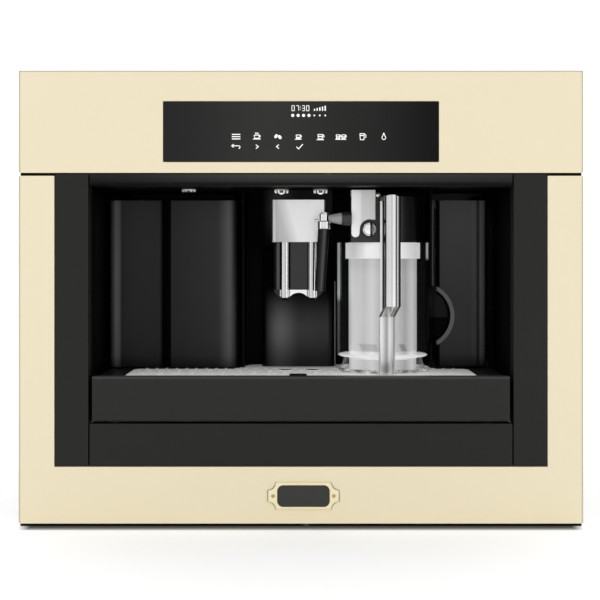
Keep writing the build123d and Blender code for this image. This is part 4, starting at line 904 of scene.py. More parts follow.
def dense(points, steps=40):
    """Adds points on the straight runs of a closed outline."""
    ends = np.roll(points, -1, 0)
    part = np.linspace(0, 1, steps, endpoint=False)[None, :, None]
    return (points[:, None] * (1 - part) + ends[:, None] * part).reshape(-1, 2)


def dished(name, centre, rings, angles, closed=False):
    """Relief on the front: each ring is (distances from the centre, height), and the surface joins ring
    to ring. The first ring lies on the panel, and the last one shrinks to the centre, or joins the first
    where the relief is a closed rim."""
    way = np.stack([np.cos(angles), np.zeros_like(angles), np.sin(angles)], -1)
    grid = np.stack([way * reach[:, None] + np.array([0, -high, 0]) for reach, high in rings], 1)
    return surface(name, grid + centre, round_u=True, round_v=closed)


def rim_brass(middle):
    """Brass of the plate's rim: bright along the middle, brown at the two ends."""
    finish = Finish("Rim brass")
    rim_tone = finish.profile((finish.axis(0) - middle).absolute(), [(0.0, 0.9), (27.0, 0.9), (31.0, 0.15),
                                                                 (39.0, 0.2)])
    rim_tone = rim_tone * (0.9 + finish.noise(90.0) * 0.2)
    finish.set(Base_Color=finish.blend((0.03, 0.02, 0.005), (0.96, 0.84, 0.5), rim_tone), Metallic=0.3,
               Roughness=0.35 + finish.noise(60.0) * 0.05)
    return finish.material


class OBJECT_OT_coffee_plate(bpy.types.Operator):
    """Make the bare brass plate on the bottom rail, with its dark field and two screws"""

    bl_idname = "object.coffee_plate"
    bl_label = "Brass plate"

    def execute(self, context):
        half_x, half_z = sizes().plate_width / 2, sizes().plate_height / 2
        plate_x, plate_z, bite, screw_x = 2.6 * MM, 32.2 * MM, 8.2 * MM, 32.0 * MM
        top = 1.2 * MM               # face of the plate over the rail
        floor = side_h = 0.9 * MM    # floor of its field, and its upright side
        centre = np.array([plate_x, FRAME[0][1], plate_z])
        angles = np.linspace(-math.pi, math.pi, 720, endpoint=False)
        outer = star_radius(ticket_outline(half_x, half_z, bite), angles)
        field_x, field_z, field_r, lip_w = 27.7 * MM, 11.4 * MM, 6.3 * MM, 1.1 * MM
        field = star_radius(rounded_outline(field_x, field_z, field_r), angles)
        lip = star_radius(rounded_outline(field_x + lip_w, field_z + lip_w, field_r + lip_w), angles)
        rings = [(outer, 0), (outer, side_h), (outer - 0.4 * MM, top), (lip + 0.5 * MM, top),
                 (lip, 1.6 * MM), (field + 0.3 * MM, 1.7 * MM), (field, 1.4 * MM), (field, floor),
                 (field * 0.001, floor)]
        plate = dished("brass_plate", centre, rings, angles)
        creases(plate)
        add(plate, brushed("Brass", (0.96, 0.86, 0.56), 0.30, "X", 0.25, 0.05), "appliance")
        wide, narrow = outer + 0.55 * MM, outer - 0.1 * MM
        rim = [(wide, 0.0), (wide, 0.7 * MM), (narrow, 1.25 * MM), (narrow, 0.0)]
        edge = dished("plate_rim", centre, rim, angles, closed=True)
        outwards(edge)
        add(edge, rim_brass(plate_x), "appliance")
        inner = field - 0.05 * MM
        inside = dished("plate_field", centre, [(inner, floor), (inner, 1.1 * MM), (field * 0.001, 1.1 * MM)],
                        angles)
        creases(inside)
        add(inside, grained("Plate enamel", (0.012, 0.012, 0.010), 0.3, 0.1, PAINT_RELIEF), "appliance")
        for index, x in enumerate((-screw_x, screw_x)):
            screw = slotted_screw(f"plate_screw_{index}", centre + (x, -top, 0), (0, -1, 0), 1.9 * MM,
                                  0.7 * MM, 0.5 + index)
            brass = grained("Screw brass", (0.50, 0.38, 0.18), 0.3, 0.1, 0.0, Metallic=0.4)
            add(screw, brass, "appliance")
        return {"FINISHED"}


def creases(piece, angle=35):
    """Smooth shading that keeps edges sharper than an angle."""
    piece.data.set_sharp_from_angle(angle=math.radians(angle))


def slotted_screw(name, place, axis, radius, high, turn):
    """Domed screw head with a slot: height over a polar grid is a shallow dome, cut down where the
    distance to the slot's middle line is under half its width."""
    steps = np.concatenate([[1.0, 1.0], np.linspace(0.97, 0.02, 16)])
    angles = np.linspace(0, TAU, 72, endpoint=False)
    reach, way = np.meshgrid(steps * radius, angles)
    u, v = reach * np.cos(way), reach * np.sin(way)
    dome = high * (0.6 + 0.4 * np.sqrt(np.clip(1 - (reach / radius) ** 2, 0, 1)))
    dome[:, 0] = 0
    across = np.abs(u * math.sin(turn) - v * math.cos(turn))
    groove = np.clip((0.16 * radius - across) / (0.05 * radius), 0, 1) * 0.45 * high
    dome[:, 1:] -= groove[:, 1:]
    axis = np.asarray(axis, float)
    side = np.cross(axis, (0, 0, 1) if abs(axis[2]) < 0.9 else (1, 0, 0))
    up = np.cross(axis, side)
    grid = place + u[..., None] * side + v[..., None] * up + dome[..., None] * axis
    piece = surface(name, grid, round_u=True)
    creases(piece)
    return piece


# ---------------------------------------------------------------- turned fittings
def turned(name, profile, centre, axis=(0, 0, 1), sides=64):
    """Surface of revolution: a closed profile of (radius, height) pairs is carried round an axis
    through the centre. Points are centre + radius * (cos, sin) in the cross plane + height * axis."""
    profile = np.asarray(profile, float)
    axis = np.asarray(axis, float)
    side = np.cross(axis, (1, 0, 0) if abs(axis[0]) < 0.9 else (0, 0, 1))
    side /= np.linalg.norm(side)
    up = np.cross(axis, side)
    way = np.linspace(0, TAU, sides, endpoint=False)[:, None, None]
    radius, height = profile[None, :, :1], profile[None, :, 1:]
    grid = centre + radius * (np.cos(way) * side + np.sin(way) * up) + height * axis
    piece = surface(name, grid, round_u=True, round_v=True)
    outwards(piece)
    creases(piece)
    return piece


def outwards(piece):
    """Turns every face of a closed mesh outwards."""
    mesh = bmesh.new()
    mesh.from_mesh(piece.data)
    bmesh.ops.remove_doubles(mesh, verts=mesh.verts, dist=1e-7)
    bmesh.ops.recalc_face_normals(mesh, faces=mesh.faces)
    mesh.to_mesh(piece.data)
    mesh.free()


def along(name, section, stations):
    """Closed bar along a bent path. section (n, 2) is the outline across the bar, in its own width and
    depth; each station is (origin, width way, depth way), and a point of the skin is
    origin + width * width way + depth * depth way. The two ends shrink to their middles."""
    section = np.asarray(section, float)
    rings = [np.asarray(origin) + (section[:, :1] * wide + section[:, 1:] * deep)
             for origin, wide, deep in stations]
    first, last = (ring.mean(0) + (ring - ring.mean(0)) * 1e-4 for ring in (rings[0], rings[-1]))
    piece = surface(name, np.stack([first, *rings, last], 1), round_u=True)
    outwards(piece)
    creases(piece)
    return piece


def rectangle(x0, x1, y0, y1):
    """Outline of a flat bar, from its edges in millimetres."""
    return np.array([(x0, y0), (x1, y0), (x1, y1), (x0, y1)]) * MM


def eased(piece, width, segments=3, angle=25):
    """Rounds the sharp edges of a piece."""
    bevel = piece.modifiers.new("Edges", "BEVEL")
    bevel.width = width
    bevel.segments = segments
    bevel.limit_method = "ANGLE"
    bevel.angle_limit = math.radians(angle)
    bevel.harden_normals = True
    return piece


def add(piece, material, body):
    """Gives a new piece its finish and lets it ride on a body."""
    put_on(piece, material)
    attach(piece, body)
    return piece


def lamp_chrome(name, middle, glow):
    """Chrome ring of a lamp with painted reflections: its two sides painted light, the part between painted
    dark, and the whole ring made to glow as painted light.
    """
    finish = Finish(name)
    sides = [(0.0, 0.05), (2.0, 0.05), (2.5, 0.8), (3.5, 0.8), (4.0, 0.05), (5.0, 0.05), (5.5, 0.9),
             (7.5, 0.9)]
    tone = finish.profile((finish.axis(0) - middle).absolute(), sides)
    shade = finish.shade(WHITE, tone)
    finish.set(Base_Color=shade, Metallic=0.5, Roughness=0.2 + finish.noise(60.0) * 0.05,
               Emission_Color=shade, Emission_Strength=glow)
    return finish.material


class OBJECT_OT_coffee_lamps(bpy.types.Operator):
    """Make the chrome bezels, the dark wells and the domed lenses of the cavity lamps"""

    bl_idname = "object.coffee_lamps"
    bl_label = "Cavity lamps"

    def execute(self, context):
        low, high = corners("cavity_lamps")
        radius = (high[1] - low[1]) / 2
        depth_y = (low[1] + high[1]) / 2
        # the lamp wells take the cavity's black of painted shade
        dark = NODES["cavity_back"].data.materials[0]
        lens = grained("Lamp glow", (0.9, 0.9, 0.88), 0.2, 0.02, 0.0, Emission_Color=(1, 1, 0.97, 1),
                       Emission_Strength=0.75)
        pair = high[0] - radius
        turn = np.linspace(0, math.pi / 2, 9)
        # the pair over the spout stands proud and glows; the third lamp, at the left, is flat and dim
        for index, x in enumerate((pair, -pair, low[0] + radius)):
            lit = index < 2
            # glow is painted light on the chrome bezels, and on the chrome face of the third lamp
            deep, glow = (1.0, 0.55) if lit else (0.4, 0.2)
            centre = np.array([x, depth_y, low[2]])
            bright = lamp_chrome(f"Lamp chrome {index}", float(x), glow)
            rim = [(0.80, 0.3), (0.80, -1.9), (0.88, -2.5), (0.94, -2.2), (0.97, -0.9), (0.98, 0.3)]
            well = [(0.50, 0.3), (0.50, -1.0), (0.60, -1.5), (0.78, -1.5), (0.80, 0.3)]
            for part, profile, finish in (("bezel", rim, bright), ("well", well, dark)):
                profile = [(r * radius, z * MM * deep) for r, z in profile]
                add(turned(f"lamp_{part}_{index}", profile, centre), finish, "appliance")
            dome = [(0.46 * radius * math.cos(t), -4.0 * MM * deep * math.sin(t)) for t in turn]
            glass = turned(f"lamp_lens_{index}", [(1e-6, 0.3 * MM)] + dome, centre)
            add(glass, lens if lit else bright, "appliance")
        return {"FINISHED"}


class OBJECT_OT_coffee_seals(bpy.types.Operator):
    """Make the black rubber seal between the frame and the fascia, and a black strip under the frame that
    stands in for the shadow there
    """

    bl_idname = "object.coffee_seals"
    bl_label = "Seals"

    def execute(self, context):
        rubber = NODES["milk_tube"].data.materials[0]
        half = FRAME[1][0] - 1.6 * MM
        gap = (FRAME[1][2] - 0.5 * MM, FASCIA[0][2] + 0.5 * MM)
        under = (0.3 * MM, FRAME[0][2] + 0.3 * MM)
        # the strip under the frame is painted shadow: a black piece where there is only shade
        for name, z, near, far in (("frame_seal", gap, 1.2, 9.0), ("foot_shadow_strip", under, 0.6, 8.0)):
            section = rounded_section(FRONT_Y + near * MM, FRONT_Y + far * MM, z[0], z[1], 0.5 * MM)
            seal = along(name, section, [(np.array([x, 0, 0]), BACK, UP) for x in (-half, half)])
            add(seal, rubber, "appliance")
        return {"FINISHED"}


def rounded_section(y0, y1, z0, z1, radius, steps=5):
    """Rounded rectangle in the YZ plane as (n, 2) points."""
    corners_at = ((y1 - radius, z1 - radius, 0), (y0 + radius, z1 - radius, 90),
                  (y0 + radius, z0 + radius, 180), (y1 - radius, z0 + radius, 270))
    return np.vstack([arc((cy, cz), radius, start, start + 90, steps) for cy, cz, start in corners_at])


class OBJECT_OT_coffee_edge_highlights(bpy.types.Operator):
    """Make the grey upright strips that stand in for edge highlights beside the centre column and beside the
    tank
    """

    bl_idname = "object.coffee_trims"
    bl_label = "Cavity edge highlights"

    def execute(self, context):
        strip_t = 6.0
        # each strip is a painted highlight along an edge
        # left edge, depth, foot, head and width in millimetres, then the tone
        strips = (("column_edge_highlight", 38.3, 118.0, 158.0, 256.0, 1.5, 0.07),
                  ("tank_edge_highlight", 147.6, 102.0, 252.0, 345.0, 2.6, 0.035))
        for name, x, depth, foot, head, wide, tone in strips:
            place = np.array([x * MM, FRONT_Y + depth * MM, 0])
            strip = along(name, rectangle(0.0, wide, 0.0, strip_t),
                          [(place + UP * z * MM, RIGHT, BACK) for z in (foot, head)])
            grey = grained("Edge highlight grey", (tone,) * 3, 0.4, 0.08, PAINT_RELIEF)
            add(strip, grey, "appliance")
        return {"FINISHED"}


class OBJECT_OT_coffee_spout_tips(bpy.types.Operator):
    """Make the black tips under the two coffee outlets"""

    bl_idname = "object.coffee_spout_tips"
    bl_label = "Spout tips"

    def execute(self, context):
        low, high = corners("spout_outlet")
        half_pitch = sizes().outlet_pitch / 2
        middle = (low[0] + high[0]) / 2
        outlet_r = 5.2 * MM
        rubber = NODES["milk_tube"].data.materials[0]
        profile = np.array([(2.2, 2.0), (2.2, -2.6), (2.5, -3.0), (3.2, -3.0), (3.6, -2.5), (3.9, 0.0),
                            (3.3, 0.1), (3.3, 2.0)]) * MM
        for index, x in enumerate((middle - half_pitch, middle + half_pitch)):
            tip = turned(f"outlet_tip_{index}", profile, np.array([x, low[1] + outlet_r, low[2]]))
            add(tip, rubber, "coffee_spout")
        return {"FINISHED"}


class OBJECT_OT_coffee_milk_spout(bpy.types.Operator):
    """Make the milk spout's smoky arm, which widens towards the lid, and its collar's cap and ear"""

    bl_idname = "object.coffee_milk_spout"
    bl_label = "Milk spout"

    def execute(self, context):
        low, high = corners("milk_arm")
        y, z = (low[1] + high[1]) / 2, (low[2] + high[2]) / 2
        # the smoky arm glows a little: painted light
        smoke = clear("Smoky arm", (0.33, 0.33, 0.33), 0.82, 0.12, edge=0.18, glow=0.04)
        (left, _, _), (right, _, top) = corners("milk_collar")
        start = right - 3.0 * MM      # the arm's inner end, inside the collar
        cone = np.array([(1e-3, 0.0), (3.2, 0.0), (3.7, 1.0), (5.2, 7.5), (6.3, 12.6), (6.3, 14.4),
                         (4.7, 14.6), (4.7, 27.0), (1e-3, 27.0)]) * MM
        cone[:, 1] = np.minimum(cone[:, 1], high[0] - start)
        arm = turned("milk_arm_smoky", cone, np.array([start, y, z]), (1, 0, 0))
        add(arm, smoke, "milk_spout")
        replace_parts(arm, "milk_arm")
        chrome = NODES["milk_collar"].data.materials[0]
        dome = np.array([(1e-3, -1.0), (4.4, -1.0), (4.6, 0.4), (4.2, 1.3), (2.6, 1.8), (1e-3, 1.9)]) * MM
        cap = turned("milk_cap", dome, np.array([(left + right) / 2 + 0.8 * MM, y, top]))
        knob = np.array([(1e-3, 0.0), (1.3, 0.0), (1.7, 0.6), (1.7, 2.6), (1.2, 3.2), (1e-3, 3.3)]) * MM
        ear = turned("milk_ear", knob, np.array([left + 1.2 * MM, y - 2 * MM, z - 2.2 * MM]), (-1, 0, 0), 24)
        for piece in (cap, ear):
            add(piece, chrome, "milk_spout")
        return {"FINISHED"}


def ridge_grid(place, half_long, half_wide, high, turn):
    """Long low dome on the grille: height high * sqrt(1 - r^2) over an oval that is turned in the plane."""
    reach, way = np.meshgrid(np.array([1.0, 0.92, 0.7, 0.4, 0.001]), np.linspace(0, TAU, 17))
    u, v = half_long * reach * np.cos(way), half_wide * reach * np.sin(way)
    c, s = math.cos(turn), math.sin(turn)
    return np.stack([u * c - v * s, u * s + v * c, high * np.sqrt(1 - reach ** 2)], -1) + place


def ridge_rows(left, right, top):
    """Small slanting ridges that the cups stand on, in staggered rows."""
    pitch = 11.2 * MM
    ridges = []
    for row, depth in enumerate((16.0, 44.0, 72.0, 100.0)):
        first = left + (8.0 + 5.6 * (row % 2)) * MM
        ridges += [ridge_grid((x, FRONT_Y + depth * MM, top), 2.6 * MM, 0.8 * MM, 0.35 * MM, 0.9)
                   for x in np.arange(first, right - 6 * MM, pitch)]
    return joined("grille_ridges", ridges)


def finger_notch(middle, top):
    """Black pad with an eased edge, its foot a little inside the grille: painted shade in the finger notch.
    """
    angles = np.linspace(-math.pi, math.pi, 120, endpoint=False)
    reach = star_radius(rounded_outline(9.2 * MM, 13.0 * MM, 4.0 * MM), angles)
    way = np.stack([np.cos(angles), np.sin(angles), np.zeros_like(angles)], -1)
    edge_z, pad_z = 0.9 * MM, 1.2 * MM
    rings = [(reach, -0.3 * MM), (reach, edge_z), (reach * 0.97, pad_z), (reach * 0.001, pad_z)]
    grid = np.stack([way * wide[:, None] + UP * up for wide, up in rings], 1)
    notch = surface("grille_notch", grid + (middle - 0.6 * MM, FRONT_Y + 16.5 * MM, top), round_u=True)
    creases(notch)
    return notch


class OBJECT_OT_coffee_grille_marks(bpy.types.Operator):
    """Make the cup marks, the slanting ridges and the finger notch of the grille"""

    bl_idname = "object.coffee_grille_marks"
    bl_label = "Cup marks"

    def execute(self, context):
        (left, _, _), (right, _, top) = corners("drip_grille")
        low, high = corners("spout_outlet")
        middle = (low[0] + high[0]) / 2
        mark_r, rim_r, mark_depth = 8.2, 9.0, 84 * MM
        mark = grained("Cup mark", (0.012, 0.012, 0.012), 0.4, 0.1, PAINT_RELIEF, Specular_IOR_Level=0.1)
        # the rims glow white: painted highlight
        rim = grained("Mark rim", (0.9, 0.9, 0.9), 0.3, 0.02, PAINT_RELIEF, Emission_Color=(1, 1, 1, 1),
                      Emission_Strength=0.2)
        disc = np.array([(1e-3, -0.2), (mark_r, -0.2), (mark_r, 0.2), (6.0, 0.45), (1e-3, 0.6)]) * MM
        ring = np.array([(mark_r, -0.2), (rim_r, -0.2), (rim_r, 0.25), (8.6, 0.4), (mark_r, 0.25)]) * MM
        for index, side in enumerate((-1, 1)):
            centre = np.array([middle + side * sizes().outlet_pitch / 2, FRONT_Y + mark_depth, top])
            for part, profile, finish in (("mark", disc, mark), ("rim", ring, rim)):
                piece = turned(f"cup_{part}_{index}", profile, centre, sides=96)
                add(piece, finish, "drip_drawer")
        # the ridges take the same glowing white, as painted highlights
        add(ridge_rows(left, right, top), rim, "drip_drawer")
        add(finger_notch(middle, top), mark, "drip_drawer")
        return {"FINISHED"}


def screw_row(name, places, axis, radius, steel):
    """Domed screws, one at each place, each with its slot at its own angle."""
    for index, place in enumerate(places):
        turn = 0.7 + 1.9 * index
        screw = slotted_screw(f"{name}_{index}", np.array(place), axis, radius, radius * 0.45, turn)
        add(screw, steel, "appliance")


class OBJECT_OT_coffee_screws(bpy.types.Operator):
    """Put the sheet metal screws on the back, the sides and the top"""

    bl_idname = "object.coffee_screws"
    bl_label = "Screws"

    def execute(self, context):
        low, high = corners("rear_panel")
        steel = NODES["slide_fixed"].data.materials[0]
        edge = 7 * MM
        xs = np.linspace(low[0] + edge, high[0] - edge, 4)
        rows = [(x, high[1], z) for z in (low[2] + edge, high[2] - edge) for x in xs]
        rows += [(x, high[1], (low[2] + high[2]) / 2) for x in (xs[0], xs[-1])]
        screw_row("rear_screw", rows, BACK, 3.2 * MM, steel)
        side_ys, side_foot = (-165 * MM, 10 * MM, 185 * MM), 85 * MM
        for name, x, way in (("left_screw", low[0], -1), ("right_screw", high[0], 1)):
            places = [(x, y, z) for y in side_ys for z in (high[2] - edge, side_foot)]
            screw_row(name, places, (way, 0, 0), 3.0 * MM, steel)
        top_xs, top_ys = (low[0] + 12 * MM, high[0] - 12 * MM), (-160 * MM, 180 * MM)
        screw_row("top_screw", [(x, y, high[2]) for x in top_xs for y in top_ys], UP, 3.0 * MM, steel)
        return {"FINISHED"}


# ---------------------------------------------------------------- milk jug
def jug_axis():
    """Axis of the jug from its liner, as a point on the floor of the frame."""
    low, high = corners("jug_liner")
    return np.array([(low[0] + high[0]) / 2, (low[1] + high[1]) / 2, 0.0])


def glassy_ring():
    """Thick clear foot: bent light mottles it with bright and dark flecks along its length."""
    finish = Finish("Foot glass")
    fleck = finish.noise(120.0, 2.0, (1.0, 0.5, 2.2))
    greys = [(place, (level,) * 3) for place, level in ((0.36, 0.14), (0.50, 0.40), (0.64, 0.74))]
    tone = finish.node("ShaderNodeValToRGB", {"stops": greys}, fleck)
    finish.set(Base_Color=tone, Alpha=(0.55 + fleck * 0.6).at_most(1.0), Roughness=0.12 + fleck * 0.1,
               IOR=1.47, Emission_Color=tone, Emission_Strength=0.22)
    return finish.material


def clear_wall(axis, radius):
    """Clear wall of the jug with painted highlights: its left edge painted light above, its right edge only
    near the band, and a faint glow.
    """
    finish = Finish("Clear wall")
    x = finish.axis(0) - float(axis[0])
    reach = float(radius) / MM
    cloud = finish.noise(22.0, 3.0)
    left = finish.profile(x, [(-reach, 1.0), (-reach + 1.9, 1.0), (-reach + 3.0, 0.0), (-reach + 3.8, 0.06),
                              (-reach + 4.6, 0.0), (0.0, 0.0)])
    right = finish.profile(x, [(0.0, 0.0), (reach - 1.6, 0.0), (reach - 0.9, 0.9), (reach, 0.9)])
    up = finish.axis(2)
    left_rise = finish.profile(up, [(160.0, 0.05), (234.0, 0.08), (243.0, 0.9), (300.0, 1.0)])
    right_rise = finish.profile(up, [(160.0, 0.0), (280.0, 0.0), (284.0, 0.9), (300.0, 1.0)])
    seen = left * left_rise + right * right_rise + 0.002
    finish.set(Base_Color=finish.blend((0.62, 0.62, 0.62), (0.68, 0.68, 0.68), cloud),
               Alpha=seen.at_most(1.0), Roughness=0.06 + cloud * 0.04, IOR=1.47, Specular_IOR_Level=0.2,
               Emission_Color=(0.86, 0.88, 0.89, 1), Emission_Strength=0.2)
    return finish.material


class OBJECT_OT_coffee_jug(bpy.types.Operator):
    """Make the jug's pale collar, its clear wall with disc, foot ring and skirt, and the cup under it"""

    bl_idname = "object.coffee_jug"
    bl_label = "Milk jug"

    def execute(self, context):
        axis = jug_axis()
        base = corners("jug_shell")[0][2]
        (band_left, _, z0), (band_right, _, z1) = corners("jug_band")
        radius = (band_right - band_left) / 2
        outer, inner = radius + 0.6 * MM, radius - 1.0 * MM
        collar_r, collar_bore, ease = 41.6 * MM, 36.0 * MM, 0.5 * MM
        disc_z = 174.6 * MM
        # the collar and hub glow, and so does the disc: painted light
        pale = grained("Collar silver", (0.72, 0.72, 0.72), 0.34, 0.02, PAINT_RELIEF, Metallic=0.2,
                       Emission_Color=(1, 1, 1, 1), Emission_Strength=0.26)
        lit = clear("Clear rim", (0.92, 0.92, 0.92), 0.45, 0.05, edge=0.6, glow=0.3)

        def ring(name, profile, finish, slot="clear_plastic"):
            return add(turned(name, profile, axis, sides=128), finish, "milk_jug")

        collar = [(collar_bore, z0), (collar_r - ease, z0), (collar_r, z0 + ease), (collar_r, z1 - ease),
                  (collar_r - ease, z1), (collar_bore, z1)]
        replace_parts(ring("jug_collar", collar, pale, "chrome"), "jug_band")
        # clear wall from the disc to the top of the band, and the disc and ring that stiffen it
        wall = [(inner, disc_z), (outer, disc_z), (outer, z1 - ease), (outer - ease, z1), (inner, z1)]
        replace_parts(ring("jug_clear_wall", wall, clear_wall(axis, outer)), "jug_shell")
        disc = np.array([(38.3, -0.6), (48.0, -0.6), (49.7, 0.5), (48.0, 1.6), (38.3, 2.0)]) * MM
        ring("jug_disc", disc + (0, disc_z), lit)
        hub = np.array([(37.9, -3.2), (38.6, -2.6), (38.6, 1.8), (37.9, 2.4)]) * MM
        ring("jug_hub", hub + (0, disc_z), pale)
        turn = np.linspace(0, TAU, 20, endpoint=False)
        tube = np.column_stack([49.4 + 2.5 * np.cos(turn), 2.0 + 1.8 * np.sin(turn)]) * MM
        ring("jug_foot_ring", tube + (0, base), glassy_ring())
        # skirt: a thin flare from the disc down to the foot ring
        fall = np.linspace(0, 1, 14)[:, None]
        flare = np.hstack([43.5 * MM + 5.0 * MM * fall ** 2.2, disc_z - fall * (disc_z - base - 2 * MM)])
        skirt_t = 1.0 * MM
        skirt = np.vstack([flare, flare[::-1] - (skirt_t, 0)])
        ring("jug_skirt", skirt, clear("Clear skirt", (0.9, 0.9, 0.9), 0.02, 0.05, edge=0.5, power=6.0))
        # pale cup under the disc, rounded at its foot
        round_r, cup_r, under, over = 4.5 * MM, 37.4 * MM, base + 0.2 * MM, disc_z + 5 * MM
        down = np.linspace(0, math.pi / 2, 8)
        heel = np.column_stack([cup_r - round_r * (1 - np.cos(down)), under + round_r * (1 - np.sin(down))])
        cup = np.vstack([[(1e-6, over), (cup_r, over)], heel, [(1e-6, under)]])
        ring("jug_cup", cup, NODES["jug_liner"].data.materials[0], "frosted_plastic")
        return {"FINISHED"}


def grip_section():
    """Outline across the grip, in millimetres: width to the right, depth to the rear. Facets from the left
    are a broad one, the bright ridge, a groove with its land, and the right flank."""
    return np.array([(-8.3, 7.0), (-8.3, 2.0), (-7.4, 0.9), (-3.6, 0.25), (-0.2, 0.0), (2.9, 0.0), (3.3, 0.5),
                     (4.7, 2.4), (5.1, 2.5), (6.9, 2.2), (7.5, 2.6), (9.1, 4.4), (9.1, 7.0)])


def painted_reflection_chrome(name, origin, wide, facets, roughness=0.10, metal=1.0):
    """Chrome with painted reflections: its facets are painted with the light and the dark parts of the room
    in turn, from left to right.
    """
    finish = Finish(name)
    x, y = finish.axis(0) - float(origin[0]), finish.axis(1) - float(origin[1])
    across = x * float(wide[0]) + y * float(wide[1])
    wiped = finish.noise(30.0, 4.0)
    tone = finish.profile(across, facets) * (0.97 + wiped * 0.06)
    finish.set(Base_Color=finish.shade((1.0, 1.0, 0.995), tone), Metallic=metal,
               Roughness=roughness + wiped * 0.05)
    return finish.material


# painted reflections on the facets of the grip and the lower bar, in millimetres from the handle's middle
GRIP_PAINTED_REFLECTIONS = [(-8.0, 0.0), (-7.0, 0.65), (-3.0, 0.7), (-1.5, 0.55), (0.0, 0.85), (1.5, 0.85), (3.0, 0.2),
               (5.0, 0.6), (7.0, 0.0)]
BAR_PAINTED_REFLECTIONS = [(-8.5, 0.35), (-8.0, 0.9), (-1.5, 0.3), (4.0, 1.0), (6.5, 0.3), (8.0, 0.8), (9.0, 0.9)]


class OBJECT_OT_coffee_handle(bpy.types.Operator):
    """Make the faceted handle of the jug: strap, arch, grip and the lower bar that it steps back to"""

    bl_idname = "object.coffee_handle"
    bl_label = "Jug handle"

    def execute(self, context):
        axis = jug_axis()
        turn = math.radians(11.0)
        wide = np.array([math.cos(turn), math.sin(turn), 0.0])
        rear = np.array([-math.sin(turn), math.cos(turn), 0.0])
        root = 52.5 * MM
        origin = axis + np.array([0.8 * MM, -root, 0]) + root * rear      # radii are measured from here
        top = corners("jug_handle")[1][2]
        foot = corners("jug_shell")[0][2] + 0.6 * MM
        grip_low = top - 119.3 * MM
        step, arch, crown_h = 12.0 * MM, 3.2 * MM, 8.0 * MM
        face, low_face, strap_r = 80.2 * MM, 57.7 * MM, 53.2 * MM         # radii of grip, bar and strap
        dark = NODES["jug_lid"].data.materials[0]

        def at(radius, z, across=wide, deep=rear):
            """Station of a bar at a radius and a height."""
            return origin - rear * radius + UP * z, across, deep

        section = grip_section() * MM
        bar = along("jug_bar", section, [at(low_face - 1.0 * MM, foot), at(low_face, foot + 1.6 * MM),
                                         at(low_face, grip_low - step)])
        add(bar, painted_reflection_chrome("Bar chrome", origin, wide, BAR_PAINTED_REFLECTIONS, 0.24, 0.35), "milk_jug")
        stations = [at(low_face + (face - low_face) * t, grip_low - step * (1 - t))
                    for t in (0.0, 0.08, 0.5, 0.92, 1.0)]
        stations += [at(face, top - crown_h)]
        stations += [at(face - arch * (1 - math.cos(t)), top - arch + arch * math.sin(t))
                     for t in np.linspace(0, math.pi / 2, 6)]
        grip = along("jug_grip", section, stations)
        crown(grip, origin, wide, top - crown_h, top, 2.2 * MM, 8.8 * MM)
        add(grip, painted_reflection_chrome("Grip chrome", origin, wide, GRIP_PAINTED_REFLECTIONS), "milk_jug")
        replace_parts(grip, "jug_handle")
        # strap against the jug: a dark plate with a glowing strip of painted highlight down its left edge
        painted_strap_highlight = grained("Strap highlight silver", (0.76, 0.76, 0.76), 0.4, 0.05, PAINT_RELIEF, Metallic=0.2,
                        Emission_Color=(1, 1, 1, 1), Emission_Strength=0.22)
        low_end = grip_low - step + 5 * MM
        for name, edges, finish in (("jug_strap", (-6.2, 8.0, 0.6, 3.0), dark),
                                    ("jug_strap_highlight", (-6.8, -4.9, -0.4, 3.0), painted_strap_highlight)):
            strap = along(name, rectangle(*edges), [at(strap_r, low_end), at(strap_r, top - 5 * MM)])
            add(eased(strap, 0.4 * MM), finish, "milk_jug")
        bridge = along("jug_bridge", rectangle(-7.0, 8.0, 0.0, 4.0),
                       [at(radius * MM, top - 2.8 * MM, wide, -UP) for radius in (74.0, 50.4)])
        add(eased(bridge, 0.4 * MM), dark, "milk_jug")
        return {"FINISHED"}


def crown(piece, origin, wide, z0, z1, drop, half):
    """Rounds the top of a bar: a point falls by drop * (way across / half)^2, growing from z0 up to z1."""
    points = np.empty(len(piece.data.vertices) * 3)
    piece.data.vertices.foreach_get("co", points)
    points = points.reshape(-1, 3)
    across = (points[:, :2] - np.asarray(origin)[:2]) @ np.asarray(wide)[:2]
    share = np.clip((points[:, 2] - z0) / (z1 - z0), 0, 1)
    points[:, 2] -= drop * (across / half) ** 2 * share
    piece.data.vertices.foreach_set("co", points.ravel())
    piece.data.update()


# ---------------------------------------------------------------- fittings on the jug's lid
def prism(name, outline, y0, y1):
    """Straight prism: a closed outline (n, 2) in X and Z, between two depths, its ends single faces."""
    count = len(outline)
    near = np.insert(outline, 1, y0, axis=1)
    far = np.insert(outline, 1, y1, axis=1)
    index = np.arange(count)
    after = np.roll(index, -1)
    sides = np.stack([index, index + count, after + count, after], -1).tolist()
    mesh = bpy.data.meshes.new(name)
    mesh.from_pydata(np.vstack([near, far]).tolist(), [],
                     sides + [index.tolist(), (index[::-1] + count).tolist()])
    piece = bpy.data.objects.new(name, mesh)
    bpy.context.scene.collection.objects.link(piece)
    outwards(piece)
    return piece


def cover_silver():
    """Satin silver of the froth cover, painted darker to the right, with a painted highlight along its top
    edge.
    """
    finish = Finish("Cover silver")
    tone = finish.profile(finish.axis(0), [(54.0, 1.0), (64.0, 0.9), (66.0, 0.7), (81.0, 0.7)])
    rise = finish.profile(finish.axis(2), [(300.0, 1.0), (355.5, 0.95), (356.5, 1.3)])
    finish.set(Base_Color=finish.shade((1, 1, 0.995), tone * rise), Metallic=0.4,
               Roughness=0.32 + finish.noise(40.0) * 0.05)
    return finish.material


